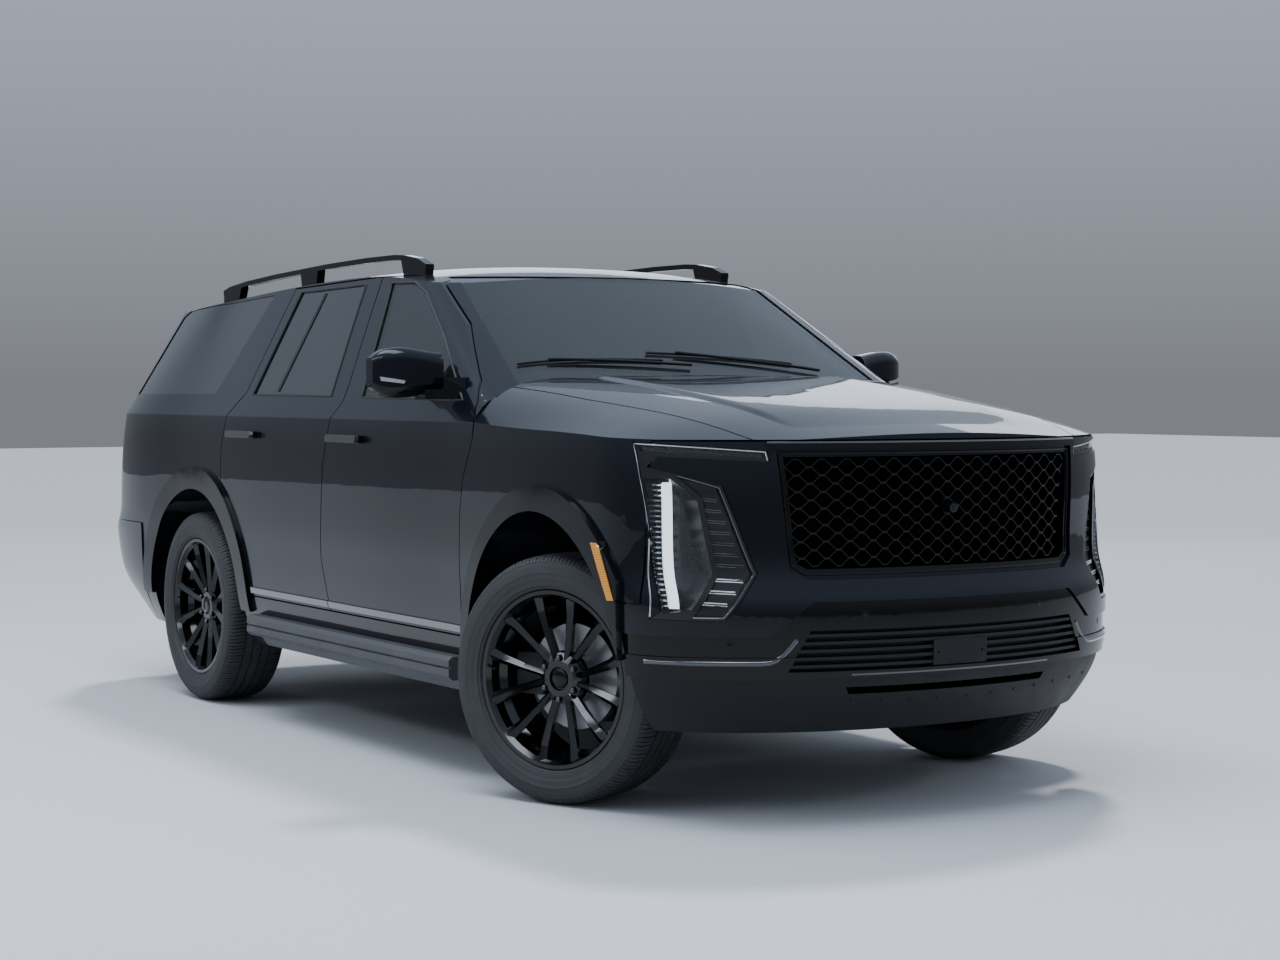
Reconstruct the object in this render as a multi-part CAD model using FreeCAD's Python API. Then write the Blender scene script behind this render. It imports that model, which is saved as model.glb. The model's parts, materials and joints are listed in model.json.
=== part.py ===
# A full-size luxury suv as an assembly of named pieces, in millimetres.
# +X points to the nose, +Y to the car's left, +Z up. The origin is on the ground, midway along the car.
import FreeCAD, Part
import math
import os

V = FreeCAD.Vector

# Driving dimensions of the whole car
LENGTH = 5382.0
WHEELBASE = 3071.0
FRONT_OVERHANG = 1015.0
TRACK = 1738.0
X_NOSE = LENGTH / 2
X_TAIL = -LENGTH / 2
X_FRONT = X_NOSE - FRONT_OVERHANG
X_REAR = X_FRONT - WHEELBASE
BODY_HALF = 1000.0
CREASE_Z = 1262.0
FLOOR_Z = 520.0
FLOOR_T = 40.0
REAR_FLOOR_X = -1080.0
REAR_FLOOR_Z = 640.0
FIREWALL_X = 1150.0
FIREWALL_T = 40.0
ROOF_TOP = 1880.0

# Wheels and steering
TYRE_R = 417.0
STEER_AT_REST = 22.0
KINGPIN_Y = 780.0
SPINDLE_R = 32.0
RUNNING = 0.05
SEAT = 0.3

# Panels
GAP = 6.0
DOOR_T = 95.0
FRAME_T = 45.0
FLANGE_LOW = 25.0
FLANGE_UP = 20.0
ROOF_T = 45.0
HOOD_T = 55.0
FENDER_T = 45.0
FASCIA_T = 60.0
GATE_T = 85.0
GLASS_OUT = 4.0
GLASS_IN = 11.0
GLASS_LAP = 12.0
SEAM_LEAN = 0.25
HANDLE_Z = 1188.0
HANDLE_FRONT = (60.0, 340.0)
HANDLE_REAR = (-975.0, -695.0)
HANDLE_OUT = 36.0
HANDLE_GAP = 20.0
STRIP_Z = (522.0, 546.0)
STRIP_OUT = 7.0

# The lower body: height, nose inset, tail inset and half width less the widest
LOWER = [
    (300, 91, 330, -70),
    (394, 25, 250, -32),
    (480, 0, 90, -14),
    (574, 0, 35, -8),
    (690, 0, 0, -5),
    (735, 9, 0, -3),
    (800, 43, 68, 0),
    (906, 50, 63, 0),
    (1050, 50, 72, -3),
    (1183, 61, 92, -8),
    (CREASE_Z, 75, 105, -16),
]
NOSE_SWEEP = 600.0
NOSE_ROUND = 0.43
TAIL_SWEEP = 300.0

# The glasshouse leans in and its windshield and tail lean back
WAIST_HALF = 984.0
LEAN_IN = 0.358
SHIELD_X = 1530.0
SHIELD_RAKE = 1.71
SHIELD_SWEEP = 330.0
TAIL_RAKE = 0.54
HOUSE_TOP = 1930.0

# The hood's surface: place along the car, height at the middle, height at the edge, crown
DECK = [
    (1050, 1440, 1269, 10),
    (1305, 1419, 1262, 9),
    (1600, 1392, 1256, 7),
    (1861, 1362, 1246, 5),
    (2100, 1334, 1228, 4),
    (2298, 1304, 1205, 3),
    (2500, 1266, 1150, 2),
    (2700, 1222, 1080, 2),
]
DECK_EDGE = 985.0

# The roof's surface: place along the car and height at the middle
ROOF = [(1300, 1520), (700, 1786), (560, 1822), (400, 1853), (150, 1874), (-100, ROOF_TOP),
        (-500, 1873), (-909, 1857), (-1500, 1825), (-2059, 1788), (-2450, 1755), (-2740, 1725)]
ROOF_CROWN = 50.0
ROOF_CROWN_Y = 750.0


def box(x0, x1, y0, y1, z0, z1):
    return Part.makeBox(x1 - x0, y1 - y0, z1 - z0, V(x0, y0, z0))


def mirrored(shape):
    return shape.mirror(V(0, 0, 0), V(0, 1, 0))


def both(shape):
    return Part.makeCompound([shape, mirrored(shape)])


def turned(shape, angle, centre=V(0, 0, 0), axis=V(0, 0, 1)):
    copy = shape.copy()
    copy.rotate(centre, axis, angle)
    return copy


def moved(shape, x, y, z):
    copy = shape.copy()
    copy.translate(V(x, y, z))
    return copy


def largest(shape):
    return max(shape.Solids, key=lambda s: s.Volume)


def outline(points):
    return Part.makePolygon(points + points[:1])


PLAN_STEPS = 7
SIDE_STEPS = 6


# Points around the body at one height, from the nose along the left side and back along the right
def plan_points(z, front, rear, half, nose, tail):
    sweep, inner, outer = nose
    sweep_t, inner_t, outer_t = tail
    side = []
    for i in range(PLAN_STEPS):
        s = math.sin(i / PLAN_STEPS * math.pi / 2)
        side.append(V(front - sweep * (1 - (1 - s ** inner) ** outer), half * s, z))
    for i in range(SIDE_STEPS):
        share = i / (SIDE_STEPS - 1)
        side.append(V(front - sweep + (rear + sweep_t - front + sweep) * share, half, z))
    for i in range(PLAN_STEPS - 1, -1, -1):
        s = math.sin(i / PLAN_STEPS * math.pi / 2)
        side.append(V(rear + sweep_t * (1 - (1 - s ** inner_t) ** outer_t), half * s, z))
    return side + [V(p.x, -p.y, p.z) for p in reversed(side[1:-1])]


# Closed curves through several such rings, with the same knots on all, spaced as on the middle ring
def plan_curves(rings):
    middle = rings[len(rings) // 2]
    knots = [0.0]
    for a, b in zip(middle, middle[1:] + middle[:1]):
        knots.append(knots[-1] + a.distanceToPoint(b))
    curves = []
    for ring in rings:
        curve = Part.BSplineCurve()
        curve.interpolate(Points=ring, Parameters=knots, PeriodicFlag=True)
        curves.append(curve)
    return curves


# A smooth surface steered by a row of curves that share their knots
def skin(curves):
    lead = curves[0]
    rows = [c.getPoles() for c in curves]
    poles = [[row[i] for row in rows] for i in range(len(rows[0]))]
    count = len(curves)
    mults = [4] + [1] * (count - 4) + [4]
    surface = Part.BSplineSurface()
    surface.buildFromPolesMultsKnots(poles, lead.getMultiplicities(), mults, lead.getKnots(),
                                     list(range(count - 2)), lead.isPeriodic(), False, lead.Degree, 3)
    return surface.toShape()


# A closed solid with a skin around it and flat ends at the first and last curve
def skinned_solid(curves):
    ends = [Part.Face(Part.Wire([c.toShape()])) for c in (curves[0], curves[-1])]
    shell = Part.makeShell([skin(curves)] + ends)
    shell.sewShape()
    return Part.Solid(shell)


# How far the sides, nose and tail stand in at a height, read between the rows of a table
def between(rows, z, column):
    if z <= rows[0][0]:
        return rows[0][column]
    for a, b in zip(rows, rows[1:]):
        if z <= b[0]:
            return a[column] + (b[column] - a[column]) * (z - a[0]) / (b[0] - a[0])
    return rows[-1][column]


# The body from nose to tail, up to above the hood, drawn in by an inset
def long_body(inset):
    rings = []
    for z in [row[0] for row in LOWER] + [CREASE_Z, 1274, 1350, 1470]:
        lean = max(z - CREASE_Z, 0) * 0.26
        rings.append(plan_points(z, X_NOSE - between(LOWER, z, 1) - inset - lean / 2,
                               X_TAIL + between(LOWER, z, 2) + inset,
                               BODY_HALF + between(LOWER, z, 3) - inset - lean,
                               (NOSE_SWEEP, 2, NOSE_ROUND), (TAIL_SWEEP, 4, 0.5)))
    return skinned_solid(plan_curves(rings))


# Cabin and glasshouse: sides and tail as the body's, the front on the windshield's slope
def house(inset_low, inset_up):
    rings = []
    for z in [row[0] for row in LOWER] + [CREASE_Z, 1274, BELT_Z - 8, BELT_Z + 8, 1420, 1520, 1640, 1790, HOUSE_TOP]:
        up = max(z - CREASE_Z, 0)
        share = up / (1740 - CREASE_Z)
        inset = inset_low if z < BELT_Z else inset_up
        front = SHIELD_X - SHIELD_RAKE * up - inset
        rear = X_TAIL + between(LOWER, z, 2) + TAIL_RAKE * up + inset
        half = BODY_HALF + between(LOWER, z, 3) - LEAN_IN * up - inset
        tail = (TAIL_SWEEP + 120 * share, 4 - share, 0.5 - 0.05 * share)
        rings.append(plan_points(z, front, rear, half, (SHIELD_SWEEP, 2, 0.25), tail))
    return skinned_solid(plan_curves(rings))


# Everything below a crowned surface steered by cross-sections along the car
def below(sections):
    curves = []
    for x, heights in sections:
        curve = Part.BSplineCurve()
        curve.interpolate(Points=[V(x, y, z) for y, z in heights], Parameters=[y for y, z in heights])
        curves.append(curve)
    return skin(curves).extrude(V(0, 0, -1700))


def under_deck(drop):
    reach = 1080.0
    sections = []
    for x, middle, edge, power in DECK:
        heights = []
        for y in (-reach, -985, -920, -840, -700, -450, 0, 450, 700, 840, 920, 985, reach):
            heights.append((y, middle - (middle - edge) * (abs(y) / DECK_EDGE) ** power - drop))
        sections.append((x, heights))
    return below(sections)


def under_roof(drop):
    reach = 1080.0
    sections = []
    for x, middle in ROOF:
        heights = []
        for y in (-reach, -850, -650, -400, 0, 400, 650, 850, reach):
            heights.append((y, middle - ROOF_CROWN * (abs(y) / ROOF_CROWN_Y) ** 2.2 - drop))
        sections.append((x, heights))
    return below(sections)


CACHE = {}


def kept(name, make):
    if name not in CACHE:
        CACHE[name] = make()
    return CACHE[name]


# The left half of the cabin block under its roof, drawn in by insets and lowered by a drop
def cabin_solid(inset_low, inset_up, drop):
    def make():
        behind = box(-3000, COWL_X, 0, 1200, 200, 2000)
        return house(inset_low, inset_up).common(behind).common(under_roof(drop))
    return kept(("cabin", inset_low, inset_up, drop), make)


def capped_house(inset, drop):
    return cabin_solid(inset, inset, drop)


# The part of a region between two depths under the cabin's skin
def cabin_layer(region, outer, inner):
    return region.common(cabin_solid(*outer)).cut(cabin_solid(*inner))


def glass_layer(region):
    return cabin_layer(region, (GLASS_OUT, GLASS_OUT, GLASS_OUT), (GLASS_IN, GLASS_IN, GLASS_IN))


def nose_layer(region, outer, inner):
    return region.common(nose_solid(outer, outer)).cut(nose_solid(inner, inner))


def low(inset):
    return kept(("low", inset), lambda: long_body(inset).common(box(-3000, 3000, 0, 1200, 200, CREASE_Z)))


# The left half of the nose block ahead of the cowl: hood, fender and bumper in one
def nose_solid(inset, drop):
    def make():
        ahead = box(SEAM_BACK, 3000, 0, 1200, 200, 2000)
        return long_body(inset).common(ahead).common(under_deck(drop))
    return kept(("nose", inset, drop), make)


def whole(half):
    return largest(half.fuse(mirrored(half)))


COWL_X = 1236.0
SEAM_BACK = 1100.0
BELT_Z = 1335.0

# Door and window outlines seen from the side, along and up
FRONT_SEAM = [(1143, 512), (1140, 739), (1146, 941), (1164, 1063), (1225, 1200)]
FRONT_DOOR_TOP = [(1226, 1268), (1190, 1336), (1120, 1404), (800, 1617), (480, 1798), (400, 1814)]
B_SEAM_TOP = [(85, 1818), (100, 1400), (92, 1330)]
B_SEAM_LOW = [(26, 1265), (-24, 1077), (-42, 714), (28, 512)]
REAR_TOP = [(-741, 1798), (-913, 1361), (-1055, 1265), (-1096, 1133)]
FRONT_GLASS = [(1060, 1352), (258, 1356), (200, 1780), (392, 1776), (500, 1733), (780, 1558)]
REAR_GLASS = [(-818, 1364), (-46, 1360), (-58, 1784), (-662, 1774)]
QUARTER_GLASS = [(-1285, 1368), (-2240, 1364), (-1985, 1700), (-1900, 1728), (-978, 1768)]
ARC_STEPS = 7
REAR_SEAM_R = 640.0
ARCH_FRONT = (40.0, 508.0, 559.0)
ARCH_REAR = (0.0, 515.0, 520.0)
FLARE_FRONT = (58.0, 579.0, 646.0)
FLARE_REAR = (0.0, 612.0, 619.0)
FLARE_OUT = 18.0


def rear_seam_arc():
    points = []
    start = math.acos((-1096 - X_REAR) / REAR_SEAM_R)
    end = math.asin((512 - TYRE_R) / REAR_SEAM_R)
    for i in range(ARC_STEPS):
        a = start + (end - start) * i / (ARC_STEPS - 1)
        points.append((X_REAR + REAR_SEAM_R * math.cos(a), TYRE_R + REAR_SEAM_R * math.sin(a)))
    return points


# Seam points moved back so that a leaning cut meets the sloping glasshouse where the seam is drawn
def leaned(points, lean=SEAM_LEAN):
    return [(x - lean * LEAN_IN * max(z - CREASE_Z, 0), z) for x, z in points]


# The front door's region: upright front and top edges, and a rear edge that leans inboard of the waist only
def front_door_region(grow, inner):
    top, foot = B_SEAM_TOP[0][1], FRONT_SEAM[0][1]
    region = side_prism(FRONT_SEAM + FRONT_DOOR_TOP + [(-300, top), (-300, foot)], grow, 0, inner)
    for lean in (0.0, SEAM_LEAN):
        ahead = leaned(B_SEAM_TOP + B_SEAM_LOW, lean) + [(1500, foot), (1500, top)]
        region = region.common(side_prism(ahead, grow, lean, inner))
    return region


# The rear door's region: its front edge leans back inboard, clear of the front door as it swings
def rear_door_region(grow, inner):
    top, foot = B_SEAM_TOP[0][1], B_SEAM_LOW[-1][1]
    overlap = [(x + 60, z) for x, z in reversed(B_SEAM_TOP + B_SEAM_LOW)]
    region = side_prism(leaned(overlap + REAR_TOP + rear_seam_arc()), grow, SEAM_LEAN, inner)
    seam = [(x - GAP, z) for x, z in B_SEAM_TOP + B_SEAM_LOW]
    for lean in (0.0, -SEAM_LEAN):
        behind = leaned(seam, lean) + [(-1500, foot), (-1500, top)]
        region = region.common(side_prism(behind, grow, lean, inner))
    return region


# A side-view outline grown by an offset and run through the left side, leaning forward inboard of the waist
def side_prism(points, grow=0.0, lean=0.0, inner=500.0, outer=1200.0):
    back = lean * (outer - WAIST_HALF)
    face = Part.Face(outline([V(x - back, outer, z) for x, z in points]))
    if grow:
        offset = face.makeOffset2D(grow, 2)
        if (offset.Area > face.Area) != (grow > 0):
            offset = face.makeOffset2D(-grow, 2)
        face = offset
    return face.extrude(V(lean * (outer - inner), inner - outer, 0))


# An outline seen from the front or rear, run along the car
def front_prism(points, x0, x1):
    wire = outline([V(x0, y, z) for y, z in points])
    return Part.Face(wire).extrude(V(x1 - x0, 0, 0))


def plan_prism(points, z0, z1):
    wire = outline([V(x, y, z0) for x, y in points])
    return Part.Face(wire).extrude(V(0, 0, z1 - z0))


# The arch opening: an ellipse run across, open below the axle
def arch_prism(x_axle, arch, grow, y0, y1, foot=-10.0):
    shift, half, rise = arch
    ellipse = Part.Ellipse(V(0, 0, 0), max(half, rise) + grow, min(half, rise) + grow)
    face = Part.Face(Part.Wire([ellipse.toShape()]))
    if rise > half:
        face.rotate(V(0, 0, 0), V(0, 0, 1), 90)
    solid = face.extrude(V(0, 0, y1 - y0))
    solid.rotate(V(0, 0, 0), V(1, 0, 0), -90)
    solid.translate(V(x_axle + shift, y0, TYRE_R))
    width = half + grow
    slot = box(x_axle + shift - width, x_axle + shift + width, y0, y1, foot, TYRE_R)
    top = solid.common(box(-4000, 4000, y0, y1, TYRE_R, 3000))
    return top.fuse(slot)


def cabin_cavity():
    floor = box(REAR_FLOOR_X, FIREWALL_X, -1200, 1200, FLOOR_Z, 2000)
    floor = floor.fuse(box(-3000, REAR_FLOOR_X + 1, -1200, 1200, REAR_FLOOR_Z, 2000))
    return cabin_solid(DOOR_T + FLANGE_LOW, FRAME_T + FLANGE_UP, ROOF_T).common(floor)


PILLAR_CLEAR = 10.0
GATE_TOP_X = -1985.0
GATE_BOTTOM = 762.0
GATE_LEAN = 0.12
GATE_OUTLINE = [(735, GATE_BOTTOM), (745, 1262), (690, 1700), (662, 1950)]
GATE_GLASS = [(600, 1330), (570, 1640), (0, 1655)]


# The gate's left half, its side edge narrowing inboard so that it swings out clear of the body
def gate_region(grow):
    side = []
    for i, (y, z) in enumerate(GATE_OUTLINE):
        skin_x = X_TAIL + 90 + TAIL_RAKE * max(z - CREASE_Z, 0)
        side.append((y + grow + GATE_LEAN * (skin_x + 3000), z - (grow if i == 0 else 0)))
    bottom, top = side[0][1], side[-1][1]
    face = Part.Face(outline([V(-3000, y, z) for y, z in [(-500, bottom)] + side + [(-500, top)]]))
    run = GATE_TOP_X + grow + 3000
    region = face.extrude(V(run, -GATE_LEAN * run, 0))
    return region.common(box(-3100, 0, 0, 1200, 500, 2000))


HOOD_BACK = COWL_X + 16
HOOD_SIDE = [(HOOD_BACK, 838), (1700, 800), (2200, 718), (2560, 640), (2760, 600)]
HOOD_LIP = 1222.0


def hood_region(grow):
    side = [(x - (grow if i == 0 else 0), y + grow) for i, (x, y) in enumerate(HOOD_SIDE)]
    return plan_prism(side + [(x, -y) for x, y in reversed(side)], HOOD_LIP - grow, 1600)


def rear_wheelhouse(grow):
    return arch_prism(X_REAR, ARCH_REAR, grow, 620 - grow, 1100)


# The flange behind the front door's upper front corner stands further in, clear of the door's swing
def pillar_relief():
    corner = box(780, COWL_X, 600, 1000, BELT_Z - 60, 1640)
    kept = cabin_solid(DOOR_T + PILLAR_CLEAR, FRAME_T + PILLAR_CLEAR, ROOF_T + PILLAR_CLEAR)
    return front_door_region(GAP, 700).common(corner).cut(kept)


def make_body_shell():
    shell = cabin_solid(0, 0, 0).cut(cabin_cavity())
    tub = rear_wheelhouse(15).common(box(-3000, 0, 0, 930, REAR_FLOOR_Z - 100, 1200))
    shell = shell.fuse(tub)
    cuts = [box(-3000, 2000, -10, 820, 100, FLOOR_Z - FLOOR_T), rear_wheelhouse(0), steer_room()]
    cuts.append(box(-3000, REAR_FLOOR_X - FLOOR_T, -10, 600, 100, REAR_FLOOR_Z - FLOOR_T))
    cuts.append(box(FIREWALL_X + FIREWALL_T, 2000, -10, 1200, 100, 1200))
    for region in (front_door_region, rear_door_region):
        cuts.append(region(GAP, 700).cut(flange_block()))
        cuts.append(region(-26, 700))
    cuts.append(pillar_relief())
    cuts.append(side_zone())
    cuts.append(side_prism(QUARTER_GLASS, 0, 0, 300))
    lap = side_prism(QUARTER_GLASS, GLASS_LAP, 0, 300)
    cuts.append(lap.cut(capped_house(GLASS_IN + SEAT, GLASS_IN)))
    cuts.append(gate_region(GAP).cut(gate_flange()))
    cuts.append(gate_inner())
    cuts.append(shield_cut())
    cuts.append(bumper_rear_region(GAP / 2))
    cuts.append(make_tail_lamps())
    for cut in cuts:
        shell = shell.cut(cut)
    return whole(largest(shell))


def side_zone():
    points = list(FRONT_SEAM) + [(1226, 1268), (1420, 1268), (1420, 300), (1143, 300)]
    return side_prism([(x - GAP, z) for x, z in points], 0, 0, 902)


def flange_block():
    return kept("flange", lambda: cabin_solid(DOOR_T + SEAT, FRAME_T + SEAT, ROOF_T + SEAT))


def gate_flange():
    return cabin_solid(GATE_T + SEAT, GATE_T + SEAT, ROOF_T + SEAT)


def gate_inner():
    side = [(y - 30, z + (30 if i == 0 else 0)) for i, (y, z) in enumerate(GATE_OUTLINE[:3])]
    side[-1] = (side[-1][0], 1690)
    return front_prism(side + [(-y, z) for y, z in reversed(side)], -3000, -2100)


def shield_region(grow):
    y_low, y_high = 784 + grow, 662 + grow
    corners = [(y_low, 1405 - grow), (y_high, 1797 + grow), (0, 1803 + grow)]
    return front_prism(corners + [(-y, z) for y, z in reversed(corners[:2])], 420, 1400)


SHIELD_OUT = 8.0
SHIELD_IN = 22.0


def shield_cut():
    lap = shield_region(GLASS_LAP).cut(capped_house(SHIELD_IN + SEAT, 5))
    return shield_region(-8).common(box(440, 1400, -1000, 1000, 1300, 1850)).fuse(lap)


def make_windshield():
    region = shield_region(GLASS_LAP - SEAT)
    return whole(cabin_layer(region, (SHIELD_OUT, SHIELD_OUT, 4), (SHIELD_IN, SHIELD_IN, 5)))


def make_quarter_glass():
    return largest(glass_layer(side_prism(QUARTER_GLASS, GLASS_LAP - SEAT, 0, 300)))


def steer_room():
    room = Part.makeCylinder(506, 900, V(X_FRONT, KINGPIN_Y, -10))
    return room.common(box(0, 3000, 470, 1200, -20, 1000))


# A door: its outline through the wall, the window cut and rebated, with its handle and the strip along its foot
def make_door(region, glass, handle_x):
    door = cabin_layer(region, (0, 0, 0), (DOOR_T, FRAME_T, ROOF_T))
    door = door.cut(side_prism(glass, 0, 0, 650))
    lap = side_prism(glass, GLASS_LAP, 0, 650).cut(capped_house(GLASS_IN + SEAT, GLASS_IN))
    door = door.cut(lap)
    x0, x1 = handle_x
    grip = side_prism(rounded(x0, x1, HANDLE_Z - 15, HANDLE_Z + 15), 0, 0, 800)
    grip = cabin_layer(grip, (-HANDLE_OUT, -HANDLE_OUT, 0), (-HANDLE_GAP, -HANDLE_GAP, 0))
    feet = [box(x, x + 34, 900, 1200, HANDLE_Z - 11, HANDLE_Z + 11) for x in (x0 + 8, x1 - 42)]
    feet = [cabin_layer(foot, (-HANDLE_GAP - 4, -HANDLE_GAP - 4, 0), (4, 4, 0)) for foot in feet]
    strip = region.common(box(-2000, 2000, 800, 1200, STRIP_Z[0], STRIP_Z[1]))
    strip = cabin_layer(strip, (-STRIP_OUT, -STRIP_OUT, 0), (4, 4, 0))
    return largest(door.multiFuse([grip] + feet + [strip]))


# A bar with rounded ends, seen from the side
def rounded(x0, x1, z0, z1):
    r = (z1 - z0) / 2
    arc = [(math.cos(math.radians(a)), math.sin(math.radians(a))) for a in (-90, -45, 0, 45, 90)]
    right = [(x1 - r + r * c, z0 + r + r * d) for c, d in arc]
    left = [(x0 + r - r * c, z0 + r - r * d) for c, d in arc]
    return right + left


def make_door_glass(glass):
    return largest(glass_layer(side_prism(glass, GLASS_LAP - SEAT, 0, 650)))


def make_liftgate():
    gate = cabin_layer(gate_region(0), (0, 0, 0), (GATE_T, GATE_T, ROOF_T))
    glass = GATE_GLASS + [(-y, z) for y, z in reversed(GATE_GLASS[:2])]
    gate = gate.cut(front_prism(glass, -3000, -2000))
    lap = front_prism(gate_glass_outline(GLASS_LAP), -3000, -2000)
    return whole(gate.cut(lap.cut(capped_house(GLASS_IN + SEAT, GLASS_IN))))


def gate_glass_outline(grow):
    (a, b), (c, d), (e, f) = GATE_GLASS
    side = [(a + grow, b - grow), (c + grow, d + grow), (e, f + grow)]
    return side + [(-y, z) for y, z in reversed(side[:2])]


def make_rear_glass():
    return whole(glass_layer(front_prism(gate_glass_outline(GLASS_LAP - SEAT), -3000, -2000)))


BUMPER_REAR_X = -2030.0


def bumper_rear_region(grow):
    return box(-3000, BUMPER_REAR_X + grow, -1200, 1200, 200, GATE_BOTTOM - GAP + grow)


def make_rear_bumper():
    skin = bumper_rear_region(0).common(low(0)).cut(low(60)).cut(rear_wheelhouse(0))
    beam = box(X_TAIL + 50, X_TAIL + 130, 0, 700, 560, 700)
    notch = box(-3000, -2200, EXHAUST_Y - 75, EXHAUST_Y + 75, 200, EXHAUST_Z + 65)
    bracket = box(X_TAIL + 100, FRAME_TAIL - SEAT, RAIL_Y, RAIL_Y + RAIL_W, RAIL_Z[0] + 10, 600)
    return whole(skin.multiFuse([beam, bracket]).cut(notch))


# Hood panel with its rolled leading edge
def make_hood():
    return whole(nose_layer(hood_region(0), 0, HOOD_T))


# Lamp outlines seen from the front: the whole unit, its clear lens, the bezel beside it and the slim upper lamp
LAMP_OUTLINE = [(948, 1214), (627, 1188), (622, 1153), (905, 1168), (925, 1136), (757, 1079),
                (668, 806), (773, 661), (944, 664), (921, 690), (930, 947), (943, 1102)]
LENS_OUTLINE = [(933, 1100), (879, 1101), (819, 1034), (786, 807), (852, 695), (912, 683), (920, 947)]
BEZEL_OUTLINE = [(864, 1106), (766, 1070), (681, 806), (776, 676), (846, 676), (772, 803), (806, 1040)]
SLIM_OUTLINE = [(938, 1204), (638, 1180), (636, 1164), (932, 1184)]
BLADE = [(862, 1088), (881, 1088), (884, 696), (864, 696)]
FIN_OUTER = [(925, 1086), (904, 696)]
LAMP_DEPTH = 70.0
LAMP_SINK = 5.0
LENS_T = 4.0
POCKET_DEPTH = 54.0
BEZEL_DEPTH = 15.0
SLIM_DEPTH = 14.0
FIN_COUNT = 24
FIN_T = 5.0
LOUVRE_COUNT = 10
LOUVRE_T = 3.0
FENDER_FOOT = 706.0
FENDER_NOSE = 2290.0
GRILLE_OUTER = [(606, 1190), (576, 822), (527, 786)]
GRILLE_INNER = [(578, 1168), (548, 838), (516, 818)]
INTAKE = [(529, 630), (600, 502)]
SLOT = [(405, 448), (392, 425)]


def lamp_region(shrink=0.0):
    face = Part.Face(outline([V(2150, y, z) for y, z in LAMP_OUTLINE]))
    if shrink:
        face = face.makeOffset2D(-shrink, 2)
    return face.extrude(V(600, 0, 0))


# An outline on the nose, drawn in by a shrink and run along the car
def nose_prism(points, shrink=0.0):
    face = Part.Face(outline([V(2150, y, z) for y, z in points]))
    if shrink:
        offset = face.makeOffset2D(-shrink, 2)
        if offset.Area > face.Area:
            offset = face.makeOffset2D(shrink, 2)
        face = offset
    return face.extrude(V(600, 0, 0))


# Rows of thin bars across an outline, evenly spaced up it
def bars_across(y0, y1, z0, z1, count, thick):
    step = (z1 - z0) / count
    rows = [box(2150, 2750, y0, y1, z0 + step * (i + 0.5) - thick / 2, z0 + step * (i + 0.5) + thick / 2)
            for i in range(count)]
    return Part.makeCompound(rows)


# Housing: a deep pocket with the light blade and its column of fins, and a louvred bezel beside it
def make_headlights():
    unit = largest(nose_layer(nose_prism(LAMP_OUTLINE, SEAT), LAMP_SINK, LAMP_DEPTH))
    unit = unit.cut(nose_layer(nose_prism(LENS_OUTLINE), 0, POCKET_DEPTH))
    unit = unit.cut(nose_layer(nose_prism(BEZEL_OUTLINE), 0, BEZEL_DEPTH))
    unit = unit.cut(nose_layer(nose_prism(SLIM_OUTLINE), 0, SLIM_DEPTH))
    blade = nose_layer(nose_prism(BLADE), 24, POCKET_DEPTH + 1)
    column = [(881, 1088), FIN_OUTER[0], FIN_OUTER[1], (884, 696)]
    fins = bars_across(870, 940, 696, 1088, FIN_COUNT, FIN_T).common(nose_prism(column))
    fins = nose_layer(fins, 28, POCKET_DEPTH + 1)
    louvres = bars_across(640, 880, 690, 1080, LOUVRE_COUNT, LOUVRE_T).common(nose_prism(BEZEL_OUTLINE, 9))
    louvres = nose_layer(louvres, BEZEL_DEPTH - 3, BEZEL_DEPTH + 1)
    return both(largest(unit.multiFuse([blade] + fins.Solids + louvres.Solids)))


# Clear covers: the tall lens over the pocket and the slim lamp above it
def make_headlight_lenses():
    tall = nose_layer(nose_prism(LENS_OUTLINE, SEAT), LAMP_SINK, LAMP_SINK + LENS_T)
    slim = nose_layer(nose_prism(SLIM_OUTLINE, SEAT), LAMP_SINK, LAMP_SINK + LENS_T)
    half = [largest(tall), largest(slim)]
    return Part.makeCompound(half + [mirrored(h) for h in half])


def symmetric(points):
    return points + [(-y, z) for y, z in reversed(points)]


STOP_Y = 450.0
LOWER_ZONE = [(525, 718), (654, 614), (1100, 614), (1100, 548)]
ZONE_STEP = 6.0
DAM_Z = 478.0
FLAP_X = 2330.0


# Bumper and nose surround with the openings for lamps, grille and intakes, and the rubber stops under the hood
def make_front_bumper():
    ahead = box(2100, 3000, -1200, 1200, 200, HOOD_LIP - GAP)
    skin = nose_layer(ahead, 0, FASCIA_T).cut(fascia_side_cut()).cut(lamp_region())
    skin = skin.cut(front_prism(symmetric(GRILLE_OUTER), 2300, 2800))
    skin = skin.cut(front_prism(symmetric(INTAKE), 2300, 2800))
    skin = skin.cut(front_prism(symmetric(SLOT), 2300, 2800))
    skin = skin.cut(arch_prism(X_FRONT, ARCH_FRONT, 0, 300, 1200)).cut(steer_room())
    skin = skin.cut(front_prism(symmetric(LOWER_ZONE), 2100, 2800).cut(nose_solid(ZONE_STEP, ZONE_STEP)))
    skin = skin.cut(box(2000, 2800, -1, 1200, 200, DAM_Z).cut(nose_solid(2 * ZONE_STEP, 2 * ZONE_STEP)))
    flap = box(FLAP_X, FLAP_X + 6, 640, 860, 235, 470).common(nose_solid(20, 20))
    skin = skin.fuse(flap)
    stop = Part.makeCylinder(8, 16, V(nose_x(STOP_Y) - 52, STOP_Y, HOOD_LIP - SEAT - 16))
    return whole(skin.fuse(stop))


# The seam between fender and bumper climbs from the arch to the lamp
def fascia_side_cut():
    points = [(2000, FENDER_FOOT), (FENDER_NOSE, FENDER_FOOT), (FENDER_NOSE, 1300), (2000, 1300)]
    return side_prism(points, 0, 0, 300)


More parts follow.
